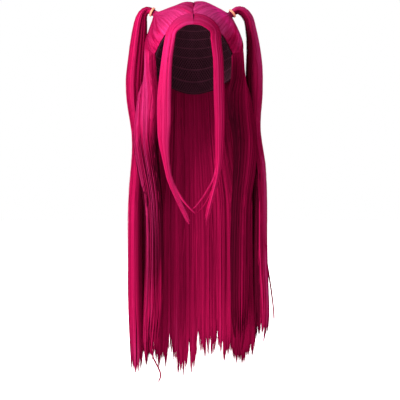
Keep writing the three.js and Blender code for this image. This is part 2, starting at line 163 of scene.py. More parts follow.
def curve_through(rows: Array, at: Array, closed: bool = False) -> Array:
    """Points on the smooth curve that passes through the rows of a table.

    Args:
        rows: Table with one row for each whole number of the parameter.
        at: Parameters to look up, of any shape.
        closed: Whether the last row leads back to the first.

    Returns:
        Values with the shape of at and one more axis for the columns.
    """
    last = len(rows) - 1
    at = np.asarray(at, float)
    start = np.floor(at).astype(int)
    if closed:
        near = [rows[(start + step) % len(rows)] for step in (-1, 0, 1, 2)]
    else:
        start = np.clip(start, 0, last - 1)
        near = [rows[np.clip(start + step, 0, last)] for step in (-1, 0, 1, 2)]
    t = (at - start)[..., None]
    slope_in = (near[2] - near[0]) / 2
    slope_out = (near[3] - near[1]) / 2
    t2 = t * t
    t3 = t2 * t
    return (
        (2 * t3 - 3 * t2 + 1) * near[1]
        + (t3 - 2 * t2 + t) * slope_in
        + (3 * t2 - 2 * t3) * near[2]
        + (t3 - t2) * slope_out
    )


def row_at(track: Array, share: Array) -> Array:
    """Row of a finely sampled table, straight between its neighbours.

    Args:
        track: The table.
        share: Shares of its length, of any shape.

    Returns:
        Values with the shape of share and one more axis for the columns.
    """
    place = np.clip(share, 0, 1) * (len(track) - 1)
    low = np.minimum(place.astype(int), len(track) - 2)
    part = (place - low)[..., None]
    return track[low] * (1 - part) + track[low + 1] * part


@dataclass(frozen=True)
class Head:
    """Egg that the cap fits, measured from its widest level."""

    half_width: float = 75.0
    half_length: float = 95.0
    crown_height: float = 95.0
    lower_depth: float = 130.0
    least_reach: float = 0.2

    @property
    def middle(self) -> Array:
        """Middle of the widest level."""
        return np.array([0.0, 0.0, -self.crown_height])

    @property
    def upper_sizes(self) -> Array:
        """Half sizes of the upper half of the egg."""
        return np.array([self.half_width, self.half_length, self.crown_height])

    def depth(self, level: Array) -> Array:
        """Half size in height of the half of the egg that levels from its middle lie in."""
        return np.where(level > 0, self.crown_height, self.lower_depth)

    def sizes(self, level: Array, lift: Array | float) -> Array:
        """Half sizes of the egg, grown by a lift.

        Args:
            level: Levels above or below its middle.
            lift: How much larger the half sizes are.

        Returns:
            Half sizes with one more axis for X, Y and Z.
        """
        depth = self.depth(level)
        wide = np.full_like(depth, self.half_width)
        long = np.full_like(depth, self.half_length)
        return np.stack([wide, long, depth], -1) + np.asarray(lift)[..., None]

    def reach(self, way: Array, lift: Array) -> Array:
        """Length of ways from the middle, as a share of the egg's own size grown by a lift."""
        return np.linalg.norm(way / self.sizes(way[..., 2], lift), axis=-1, keepdims=True)

    def way(self, turn: Array, drop: Array) -> Array:
        """Way from the middle of the egg to places on it.

        Args:
            turn: Turns in degrees from the front.
            drop: Drops below the top.

        Returns:
            Ways with one more axis for X, Y and Z.
        """
        level = self.crown_height - np.asarray(drop, float)
        ring = np.sqrt(np.maximum(1 - (level / self.depth(level)) ** 2, 0))
        angle = np.radians(turn)
        across = self.half_width * ring * np.sin(angle)
        front = -self.half_length * ring * np.cos(angle)
        return np.stack(np.broadcast_arrays(across, front, level), -1)

    def point(self, way: Array, lift: Array | float) -> Array:
        """Point on the head in a given way from its middle, lifted off it."""
        lift = np.broadcast_to(np.asarray(lift, float), way.shape[:-1])
        return self.middle + way / np.maximum(self.reach(way, lift), TINY)

    def normal(self, points: Array) -> Array:
        """Way out of the head at points on it."""
        away = points - self.middle
        return unit(away / self.sizes(away[..., 2], 0.0) ** 2)

    def keep_outside(self, points: Array, lift: float, lowest: float) -> Array:
        """Points moved out of the head where they lie in it and above a level.

        Args:
            points: Points to look at.
            lift: Height over the head that has to stay clear.
            lowest: Level below which points stay as they are.

        Returns:
            The points, with those inside moved straight out.
        """
        away = points - self.middle
        reach = self.reach(away, np.full(away.shape[:-1], lift))
        inside = (reach < 1) & (points[..., 2:] > lowest)
        return np.where(inside, self.middle + away / np.maximum(reach, self.least_reach), points)


HEAD = Head()


@dataclass
class Strands:
    """Centre lines of many strands, with their broad sides, widths and tones."""

    centre: Array
    across: Array
    out: Array
    width: Array
    along: Array
    tone: Array
    tone_spread: float = 0.05
    arch: float = 0.17

    def tint(self, amount: float, run: Pair, darkest: float = 0.0) -> None:
        """Changes the tone along the strands, by a run of their length, but not below a darkest tone."""
        self.tone = np.maximum(self.tone + amount * ease(self.along, *run), darkest)


class MeshParts:
    """Vertices and faces of one piece, gathered in millimetres before its mesh is made."""

    LOWEST_WALL = 0.001
    TONE_LIMITS = (0.002, 0.998)
    SHARP_ANGLE = math.radians(62)

    def __init__(self) -> None:
        """Starts with no vertices, and no faces of four or three corners."""
        self.count = 0
        self.points: list[Array] = []
        self.corners = {sides: [np.empty((0, sides), int)] for sides in (4, 3)}
        self.corner_uvs = {sides: [np.empty((0, sides, 2))] for sides in (4, 3)}

    def add(self, points: Array, faces: Array, uvs: Array) -> None:
        """Adds vertices and the faces between them.

        Args:
            points: Vertices as rows.
            faces: Corners of each face, three or four, counted from the first of these vertices.
            uvs: Place on the finish for each corner.
        """
        self.add_faces(faces, uvs, self.count)
        self.points.append(points.reshape(-1, 3))
        self.count += len(self.points[-1])

    def add_faces(self, faces: Array, uvs: Array, first: int) -> None:
        """Adds faces without new vertices.

        Args:
            faces: Corners of each face, three or four, counted from a first vertex.
            uvs: Place on the finish for each corner.
            first: Number of the first vertex.
        """
        sides = faces.shape[-1]
        self.corners[sides].append(faces.reshape(-1, sides) + first)
        self.corner_uvs[sides].append(uvs.reshape(-1, sides, 2))

    def add_strands(self, strands: Strands) -> None:
        """Adds each strand as a thin closed rod with a low ridge along its outer side.

        Args:
            strands: Strands to add.
        """
        rows, steps = strands.width.shape
        half = strands.across * (strands.width / 2)[..., None]
        ridge = strands.out * (strands.width * strands.arch)[..., None]
        rings = np.stack([strands.centre - half, strands.centre + ridge, strands.centre + half], 2)
        tone_step = np.array([-0.5, 0.0, 0.5]) * strands.tone_spread
        uvs = np.empty((rows, steps, 3, 2))
        uvs[..., 0] = np.clip(strands.tone[..., None] + tone_step, *self.TONE_LIMITS)
        uvs[..., 1] = strands.along[..., None]

        first = self.count
        index = np.arange(rows * steps * 3).reshape(rows, steps, 3)
        turned = np.roll(index, -1, axis=2)
        quads = np.stack([index[:, :-1], index[:, 1:], turned[:, 1:], turned[:, :-1]], -1)
        flat_uvs = uvs.reshape(-1, 2)
        self.add(rings, quads, flat_uvs[quads])
        ends = np.concatenate([index[:, 0], index[:, -1][:, [0, 2, 1]]])
        self.add_faces(ends, flat_uvs[ends], first)

    def add_slab(self, top: Array, bottom: Array, wrap: bool, tones: Pair) -> None:
        """Adds a closed layer between two grids of points, without walls where the grids meet.

        Args:
            top: Outer grid, across by along.
            bottom: Inner grid of the same size.
            wrap: Whether the last row across joins the first.
            tones: Tones of the finish at the first and last row across.
        """
        wide, tall = top.shape[:2]
        below = wide * tall
        index = np.arange(below).reshape(wide, tall)
        here = np.arange(wide if wrap else wide - 1)
        after = (here + 1) % wide
        tone = tones[0] + (tones[1] - tones[0]) * np.arange(len(here) + 1) / len(here)
        spots = np.stack(np.broadcast_arrays(tone[:, None], np.linspace(0, 1, tall)), -1)
        left = spots[:-1]
        right = spots[1:]

        upper = np.stack([index[here, :-1], index[after, :-1], index[after, 1:], index[here, 1:]], -1)
        upper = upper.reshape(-1, 4)
        upper_uvs = np.stack([left[:, :-1], right[:, :-1], right[:, 1:], left[:, 1:]], -2)
        upper_uvs = upper_uvs.reshape(-1, 4, 2)
        edges = [
            (index[after, 0], index[here, 0], right[:, 0], left[:, 0]),
            (index[here, -1], index[after, -1], left[:, -1], right[:, -1]),
        ]
        if not wrap:
            edges.append((index[0, :-1], index[0, 1:], spots[0, :-1], spots[0, 1:]))
            edges.append((index[-1, 1:], index[-1, :-1], spots[-1, 1:], spots[-1, :-1]))
        near, far, near_uvs, far_uvs = (np.concatenate([edge[part] for edge in edges]) for part in range(4))
        walls = np.stack([near, far, far + below, near + below], -1)
        wall_uvs = np.stack([near_uvs, far_uvs, far_uvs, near_uvs], -2)
        points = np.concatenate([top.reshape(-1, 3), bottom.reshape(-1, 3)])
        height = np.linalg.norm(points[walls[:, :2]] - points[walls[:, :2] + below], axis=-1)
        standing = height.max(1) > self.LOWEST_WALL
        faces = np.concatenate([upper, upper[:, ::-1] + below, walls[standing]])
        uvs = np.concatenate([upper_uvs, upper_uvs[:, ::-1], wall_uvs[standing]])
        if face_inwards(points[upper], points[upper[:, 0]] - points[upper[:, 0] + below]):
            faces = faces[:, ::-1]
            uvs = uvs[:, ::-1]
        self.add(points, faces, uvs)

    def add_tube(self, path: Array, sides: Array, closed: bool) -> None:
        """Adds a tube along a path.

        Args:
            path: Centres of the rings.
            sides: Offsets of each ring's points from its centre.
            closed: Whether the last ring joins the first.
        """
        rings = path[:, None] + sides
        steps, around = rings.shape[:2]
        index = np.arange(steps * around).reshape(steps, around)
        ahead = np.roll(index, -1, axis=0) if closed else index[1:]
        here = index if closed else index[:-1]
        quads = np.stack([here, np.roll(here, -1, 1), np.roll(ahead, -1, 1), ahead], -1)
        flat = quads.reshape(-1, 4)
        flip = face_inwards(rings.reshape(-1, 3)[flat], sides.reshape(-1, 3)[flat[:, 0]])

        row = np.arange(len(here))[:, None] / len(here)
        column = np.arange(around)[None] / around
        low = np.stack(np.broadcast_arrays(column, row), -1)
        aside = 1 / around
        step = 1 / len(here)
        uvs = np.stack([low, low + [aside, 0], low + [aside, step], low + [0, step]], -2)
        first = self.count
        if flip:
            quads = quads[..., ::-1]
            uvs = uvs[..., ::-1, :]
        self.add(rings, quads, uvs)
        if closed:
            return
        for ring, reverse in ((index[0], not flip), (index[-1], flip)):
            order = ring[::-1] if reverse else ring
            fan = np.stack([np.repeat(order[0], around - 2), order[1:-1], order[2:]], -1)
            self.add_faces(fan, np.full((*fan.shape, 2), 0.5), first)

    def to_object(self, name: str, material: bpy.types.Material) -> bpy.types.Object:
        """Makes the mesh object in metres, with its place on the finish, in the scene.

        Args:
            name: Name of the piece.
            material: Finish of the piece.

        Returns:
            The new object.
        """
        points = np.concatenate(self.points) * MM
        faces = [np.concatenate(parts) for parts in self.corners.values()]
        totals = np.concatenate([np.full(len(part), part.shape[1]) for part in faces])
        starts = np.concatenate([[0], np.cumsum(totals)[:-1]])
        corners = np.concatenate([part.ravel() for part in faces])
        uvs = np.concatenate([part.ravel() for parts in self.corner_uvs.values() for part in parts])
        mesh = bpy.data.meshes.new(name)
        mesh.vertices.add(len(points))
        mesh.vertices.foreach_set("co", points.astype(np.float32).ravel())
        mesh.loops.add(len(corners))
        mesh.loops.foreach_set("vertex_index", corners.astype(np.int32))
        mesh.polygons.add(len(totals))
        mesh.polygons.foreach_set("loop_start", starts.astype(np.int32))
        mesh.polygons.foreach_set("loop_total", totals.astype(np.int32))
        mesh.polygons.foreach_set("use_smooth", np.ones(len(totals), bool))
        mesh.update(calc_edges=True)
        mesh.uv_layers.new(name=UV_NAME).data.foreach_set("uv", uvs.astype(np.float32))
        mesh.set_sharp_from_angle(angle=self.SHARP_ANGLE)
        mesh.materials.append(material)
        return add_object(name, mesh)


class Shader:
    """Node tree of one finish, with its main shader."""

    def __init__(self, name: str) -> None:
        """Makes a material that holds one main shader.

        Args:
            name: Name of the material.
        """
        self.material = bpy.data.materials.new(name)
        self.material.use_nodes = True
        self.tree = self.material.node_tree
        self.surface = self.tree.nodes["Principled BSDF"]

    def add(self, kind: str, **inputs: object) -> bpy.types.Node:
        """Adds a node.

        Args:
            kind: Blender's name of the node type, without its prefix.
            inputs: Properties of the node, or values or sources of its sockets by position, as in_0.

        Returns:
            The node.
        """
        node = self.tree.nodes.new("ShaderNode" + kind)
        for key, value in inputs.items():
            if not key.startswith("in_"):
                setattr(node, key, value)
        for key, value in inputs.items():
            if key.startswith("in_"):
                self.feed(node.inputs[int(key[3:])], value)
        return node

    def feed(self, socket: Socket, value: object) -> None:
        """Links a source to a socket, or sets the socket's own value.

        Args:
            socket: Socket to feed.
            value: Source or value.
        """
        if isinstance(value, Socket):
            self.tree.links.new(value, socket)
        else:
            socket.default_value = value

    def math(self, operation: str, first: object, second: object = 0.0) -> Socket:
        """Result of one sum on two values or sources."""
        return self.add("Math", operation=operation, in_0=first, in_1=second).outputs[0]

    def scaled(self, source: Socket, factor: float, plus: object) -> Socket:
        """A source times a factor, plus a value or another source."""
        return self.add("Math", operation="MULTIPLY_ADD", in_0=source, in_1=factor, in_2=plus).outputs[0]

    def wave(self, source: Socket, turns: float) -> Socket:
        """Sine of a source, with a number of turns over its whole length."""
        return self.math("SINE", self.math("MULTIPLY", source, turns * 2 * math.pi))

    def between(self, source: Socket, start: Pair, end: Pair) -> Socket:
        """Value that goes over one pair of ends while a source goes over another pair."""
        ends = {"in_1": start[0], "in_2": start[1], "in_3": end[0], "in_4": end[1]}
        return self.add("MapRange", in_0=source, **ends).outputs[0]

    def set(self, **sockets: object) -> None:
        """Feeds sockets of the main shader, named with underscores for spaces."""
        for key, value in sockets.items():
            self.feed(self.surface.inputs[key.replace("_", " ")], value)

    def place(self) -> tuple[Socket, Socket]:
        """The two directions of the piece's place on the finish."""
        parts = self.add("SeparateXYZ", in_0=self.add("UVMap", uv_map=UV_NAME).outputs[0])
        return parts.outputs[0], parts.outputs[1]

    def noise(self, scale: Pair, detail: float) -> Socket:
        """Noise over the piece's place on the finish.

        Args:
            scale: How fine it is across and along.
            detail: How many finer layers it has.

        Returns:
            Source of values about 0.5.
        """
        uv = self.add("UVMap", uv_map=UV_NAME)
        spread = self.add("VectorMath", operation="MULTIPLY", in_0=uv.outputs[0], in_1=(*scale, 1.0))
        texture = self.add("TexNoise", noise_dimensions="2D", in_0=spread.outputs[0])
        texture.inputs["Scale"].default_value = 1.0
        texture.inputs["Detail"].default_value = detail
        return texture.outputs[0]

    def ramp(self, source: Socket, stops: Stops) -> Socket:
        """Colours along a value.

        Args:
            source: The value.
            stops: Places and the colours there.

        Returns:
            Source of colours.
        """
        node = self.add("ValToRGB", in_0=source)
        elements = node.color_ramp.elements
        while len(elements) < len(stops):
            elements.new(1.0)
        for element, (place, color) in zip(elements, stops):
            element.position = place
            element.color = (*color, 1.0)
        return node.outputs[0]

    def bump(self, height: Socket, strength: float, distance: float) -> None:
        """Raises the surface.

        Args:
            height: Source of the height.
            strength: How far it tells on the light.
            distance: Greatest height in metres.
        """
        node = self.add("Bump")
        node.inputs["Strength"].default_value = strength
        node.inputs["Distance"].default_value = distance
        self.feed(node.inputs["Height"], height)
        self.set(Normal=node.outputs[0])


@dataclass(frozen=True)
class HairFinish:
    """Silky dyed fibre: the place across is the tone of a strand, and the place along runs to its tip."""

    name: str = "magenta_fibre"
    stops: Stops = (
        (0.0, (0.0115, 0.0006, 0.0026)),
        (0.28, (0.062, 0.0007, 0.0092)),
        (0.62, (0.175, 0.0020, 0.0270)),
        (0.80, (0.215, 0.0085, 0.0520)),
        (1.0, (0.300, 0.0210, 0.1020)),
    )
    streaks: Pair = (420.0, 2.2)
    streak_detail: float = 3.0
    streak_span: Pair = (0.25, 0.75)
    patches: Pair = (60.0, 5.0)
    patch_detail: float = 1.0
    patch_sway: float = 0.16
    contrast: Pair = (0.76, 1.20)
    rough: Pair = (0.61, 0.50)
    metal: float = 0.45
    edge_tint: Color = (0.62, 0.26, 0.46)
    relief: Pair = (0.25, 0.0002)

    def material(self) -> bpy.types.Material:
        """Makes the finish.

        Returns:
            Its material.
        """
        shader = Shader(self.name)
        tone, _ = shader.place()
        streaks = shader.noise(self.streaks, self.streak_detail)
        patches = shader.noise(self.patches, self.patch_detail)
        sway = shader.scaled(shader.math("SUBTRACT", patches, 0.5), self.patch_sway, 0.0)
        base = shader.ramp(shader.math("ADD", tone, sway), self.stops)
        color = shader.add("VectorMath", operation="SCALE", in_0=base)
        shader.feed(color.inputs["Scale"], shader.between(streaks, self.streak_span, self.contrast))
        gloss = shader.between(streaks, self.streak_span, self.rough)
        shader.set(Base_Color=color.outputs[0], Roughness=gloss)
        shader.set(Metallic=self.metal, Specular_IOR_Level=0.0, Specular_Tint=(*self.edge_tint, 1.0))
        shader.bump(streaks, *self.relief)
        return shader.material


@dataclass(frozen=True)
class NetFinish:
    """Dark stretch net: diagonal threads, and rows of seams where hair is sewn in."""

    name: str = "dark_net"
    thread: Color = (0.066, 0.013, 0.028)
    gap: Color = (0.014, 0.0032, 0.0064)
    cells: Pair = (96.0, 34.0)
    thread_edge: Pair = (0.22, 0.42)
    seams: float = 11.0
    seam_edge: Pair = (0.10, 0.24)
    wear: Pair = (40.0, 12.0)
    wear_detail: float = 2.0
    wear_base: float = 0.45
    rough: Pair = (0.9, 0.62)
    spec: float = 0.06
    relief: Pair = (0.6, 0.0006)

    def material(self) -> bpy.types.Material:
        """Makes the finish.

        Returns:
            Its material.
        """
        shader = Shader(self.name)
        across, down = shader.place()
        wide = shader.math("MULTIPLY", across, self.cells[0] * math.pi)
        tall = shader.math("MULTIPLY", down, self.cells[1] * math.pi)
        rising, falling = (
            shader.math("ABSOLUTE", shader.math("SINE", shader.math(sum_of, wide, tall)))
            for sum_of in ("ADD", "SUBTRACT")
        )
        threads = shader.between(shader.math("MINIMUM", rising, falling), self.thread_edge, (1.0, 0.0))
        rows = shader.math("ABSOLUTE", shader.wave(down, self.seams / 2))
        seams = shader.between(rows, self.seam_edge, (1.0, 0.0))
        cover = shader.math("MAXIMUM", threads, seams)
        wear = shader.math("ADD", shader.noise(self.wear, self.wear_detail), self.wear_base)
        color = shader.ramp(shader.math("MULTIPLY", cover, wear), ((0.0, self.gap), (1.0, self.thread)))
        gloss = shader.between(cover, (0.0, 1.0), self.rough)
        shader.set(Base_Color=color, Roughness=gloss, Specular_IOR_Level=self.spec)
        shader.bump(cover, *self.relief)
        return shader.material


@dataclass(frozen=True)
class BandFinish:
    """Woven elastic band: fine ribs across its run, darker in the grooves between them as painted shade."""

    name: str
    # Colour on top of the ribs, and the darker colour down in the grooves, which is painted shade.
    high: Color
    low: Color
    ribs: Pair
    rough: float
    spec: float
    rib_height: float = 0.30
    cross_height: float = 0.20
    middle_height: float = 0.5
    wear: Pair = (5.0, 40.0)
    wear_detail: float = 2.0
    wear_share: float = 0.5
    groove_shade_share: float = 0.6
    stops: Pair = (0.15, 0.85)
    relief: Pair = (0.5, 0.0003)

    def material(self) -> bpy.types.Material:
        """Makes the finish.

        Returns:
            Its material.
        """
        shader = Shader(self.name)
        across, down = shader.place()
        weave = shader.scaled(shader.wave(down, self.ribs[1]), self.rib_height, self.middle_height)
        height = shader.scaled(shader.wave(across, self.ribs[0]), self.cross_height, weave)
        # Painted shade: the colour follows the height of the ribs and is darker in the grooves; the noise
        # on top is random.
        shade = shader.math("MULTIPLY", height, self.groove_shade_share)
        mix = shader.scaled(shader.noise(self.wear, self.wear_detail), self.wear_share, shade)
        color = shader.ramp(mix, tuple(zip(self.stops, (self.low, self.high))))
        shader.set(Base_Color=color, Roughness=self.rough, Specular_IOR_Level=self.spec)
        shader.bump(height, *self.relief)
        return shader.material


@dataclass(frozen=True)
class FloorFinish:
    """Pale matt floor."""

    name: str = "pale_floor"
    scale: float = 3.0
    stops: Stops = ((0.3, (0.97, 0.97, 0.97)), (0.7, (0.99, 0.99, 0.99)))
    rough: float = 0.85
    spec: float = 0.2

    def material(self) -> bpy.types.Material:
        """Makes the finish.

        Returns:
            Its material.
        """
        shader = Shader(self.name)
        texture = shader.add("TexNoise")
        texture.inputs["Scale"].default_value = self.scale
        color = shader.ramp(texture.outputs[0], self.stops)
        shader.set(Base_Color=color, Roughness=self.rough, Specular_IOR_Level=self.spec)
        return shader.material


class HairSurface(ABC):
    """Outer face of a mass of hair: u runs across it, v from roots to tips, and lift stands off it."""

    span: float

    @abstractmethod
    def place(self, u: Array, v: Array, lift: Array) -> Array:
        """Points on the face.

        Args:
            u: Places across.
            v: Places from root, 0, to tip, 1.
            lift: Heights over the face, below it where negative.

        Returns:
            Points with one more axis for X, Y and Z.
        """


class Tube(HairSurface):
    """Face of a lock of hair with oval sections, u being the way round."""

    SAMPLES = 240
    ROUND_SAMPLES = 361
    GIRTH = 1.57
    LEAST_HALF = 0.12

    def __init__(self, rows: Array, lowest: float) -> None:
        """Samples the lock.

        Args:
            rows: Table of x, y, z, width, thick, bow and the three parts of the way its broad side faces.
            lowest: Level down to which the lock stays out of the head.
        """
        table = curve_through(rows, np.linspace(0, len(rows) - 1, self.SAMPLES))
        centre = table[:, :3]
        facing = table[:, 6:9]
        along = unit(np.gradient(centre, axis=0))
        out = unit(facing - along * dot(facing, along))
        self.track = np.hstack([centre, np.cross(out, along), out, table[:, 3:6]])
        self.lowest = lowest
        self.span = float(np.mean(table[:, 3] + table[:, 4])) * self.GIRTH
        flatness = float(np.mean(table[:, 4] / table[:, 3]))
        self.angles = np.linspace(0, 2 * math.pi, self.ROUND_SAMPLES)
        step = np.hypot(np.sin(self.angles), flatness * np.cos(self.angles))
        length = np.concatenate([[0], np.cumsum((step[1:] + step[:-1]) / 2)])
        self.round = length / length[-1]

    def place(self, u: Array, v: Array, lift: Array) -> Array:
        """Points round the lock.

        Args:
            u: Shares of the way round.
            v: Places from root, 0, to tip, 1.
            lift: Heights over the face.

        Returns:
            Points with one more axis for X, Y and Z.
        """
        row = row_at(self.track, v)
        centre, across, out = (row[..., first:first + 3] for first in (0, 3, 6))
        width, thick, bow = (row[..., column] for column in (9, 10, 11))
        angle = np.interp(u % 1, self.round, self.angles)
        half_width = np.maximum(width / 2 + lift, self.LEAST_HALF)
        half_thick = np.maximum(thick / 2 + lift, self.LEAST_HALF)
        sideways = half_width * np.cos(angle)
        reach = sideways / np.maximum(width / 2, self.LEAST_HALF)
        outward = half_thick * np.sin(angle) - bow * reach**2
        points = centre + across * sideways[..., None] + out * outward[..., None]
        return HEAD.keep_outside(points, HAIR_FOOT, self.lowest)


@dataclass(frozen=True)
class TieSeat:
    """Where a tie sits, which way the tail leaves it, and the sizes of the hair in it."""

    centre: Place
    leaves: Place
    hair_radius: float = 6.4
    neck: float = 5.5
    gap: float = 0.3

    @property
    def middle(self) -> Array:
        """Middle of the tie."""
        return np.array(self.centre)

    @property
    def along(self) -> Array:
        """Way along which the tail leaves."""
        return unit(np.array(self.leaves))


TIE_SEATS = {
    Side.LEFT: TieSeat((-78.5, 22.0, -9.4), (-0.86, 0.15, 0.48)),
    Side.RIGHT: TieSeat((72.0, 22.0, -12.0), (0.77, 0.15, 0.62)),
}


# Size, length and start of the waves in the part, and depths between which they come in behind its front.
PART_WAVES = ((0.9, 9.0, 0.0), (0.5, 3.7, 1.0))
PART_RUN = (-84.0, -62.0)


def part_line(depth: Array) -> Array:
    """How far the part strays from the middle at depths from front to back."""
    stray = sum(size * np.sin(depth / length + start) for size, length, start in PART_WAVES)
    return stray * ease(depth, *PART_RUN)


class Tent(HairSurface):
    """Face of the hair drawn from its outline on the scalp to a tie, u being the way round the outline."""

    SPAN = 480.0
    NECK_START = 0.95
    NECK_LIFT = 1.6
    NECK_LEAST = 0.5
    PULL = 0.62
    PAST_UNTIL = 0.3
    EDGE_FROM = 0.65
    ROOT_RUN = 0.13

    # Turn and drop of the outline, height of the hair there and half way to the tie, share of that height
    # at the root, and how far the root reaches past the outline.
    OUTLINE = np.array([
        (0, 24, 5, 8.5, 0.45, 0.09),
        (24, 29, 5, 8.5, 0.45, 0.09),
        (37, 44, 5, 9, 0.40, 0.08),
        (48, 63, 6, 11, 0.25, 0.04),
        (64, 89, 8, 14, 0.22, 0.04),
        (86, 99, 13, 17, 0.50, 0.07),
        (108, 97, 12, 15, 0.40, 0.09),
        (132, 86, 9, 12, 0.30, 0.10),
        (156, 74, 8, 10, 0.30, 0.10),
        (180, 68, 6, 9, 0.35, 0.09),
        (180, 36, 6, 9, 0.70, 0.0),
        (180, 12, 5.2, 7.6, 0.75, 0.0),
        (180, 0.5, 5, 7.4, 0.78, 0.0),
        (0, 9, 5, 7.4, 0.75, 0.0),
    ], float)

    # Rows of the outline along the top of the part, and how much lower the hair lies there on the left.
    TOP_ROWS = slice(11, 14)
    LEFT_LOWER = 1.0

    def __init__(self, side: Side, gap: float) -> None:
        """Sets the outline out on the head.

        Args:
            side: Half of the wig.
            gap: Width of the part.
        """
        self.side = side
        self.gap = gap
        self.seat = TIE_SEATS[side]
        self.span = self.SPAN
        ways = HEAD.way(side.value * self.OUTLINE[:, 0], self.OUTLINE[:, 1])
        self.columns = np.hstack([ways, self.OUTLINE[:, 2:]])
        if side is Side.LEFT:
            self.columns[self.TOP_ROWS, 3:5] -= self.LEFT_LOWER

    def place(self, u: Array, v: Array, lift: Array) -> Array:
        """Points between the outline and the tie.

        Args:
            u: Shares of the way round the outline.
            v: Places from root, 0, to tie, 1.
            lift: Heights over the face.

        Returns:
            Points with one more axis for X, Y and Z.
        """
        column = curve_through(self.columns, (u % 1) * len(self.columns), closed=True)
        root = column[..., :3]
        edge, body, foot_share, reach = (column[..., number] for number in (3, 4, 5, 6))
        past = np.maximum(reach, 0) * (1 - ease(v, 0, self.PAST_UNTIL))
        share = np.clip(1 - v / self.NECK_START, 0, 1) + past
        foot = unit((self.seat.middle - HEAD.middle) / HEAD.upper_sizes)
        way = foot + (unit(root / HEAD.upper_sizes) - foot) * share[..., None]
        height = body + (edge - body) * ease(share, self.EDGE_FROM, 1.0)
        rise = foot_share + (1 - foot_share) * ease(v, 0, self.ROOT_RUN)
        points = HEAD.point(way * HEAD.upper_sizes, HAIR_FOOT + (height + lift) * rise)
        nearest = self.side.value * part_line(points[..., 1]) + self.gap / 2
        points[..., 0] = self.side.value * np.maximum(self.side.value * points[..., 0], nearest)

        spoke = HEAD.point(root, 0.0) - self.seat.middle
        spoke = unit(spoke - self.seat.along * dot(spoke, self.seat.along))
        radius = np.maximum(self.seat.hair_radius + self.NECK_LIFT * lift, self.NECK_LEAST)
        back = self.seat.gap + (self.seat.neck - self.seat.gap) * (1 - ease(v, self.NECK_START, 1.0))
        neck = self.seat.middle - self.seat.along * back[..., None] + spoke * radius[..., None]
        pull = 1 - ease(share, 0, self.PULL)
        return points + (neck - points) * pull[..., None]


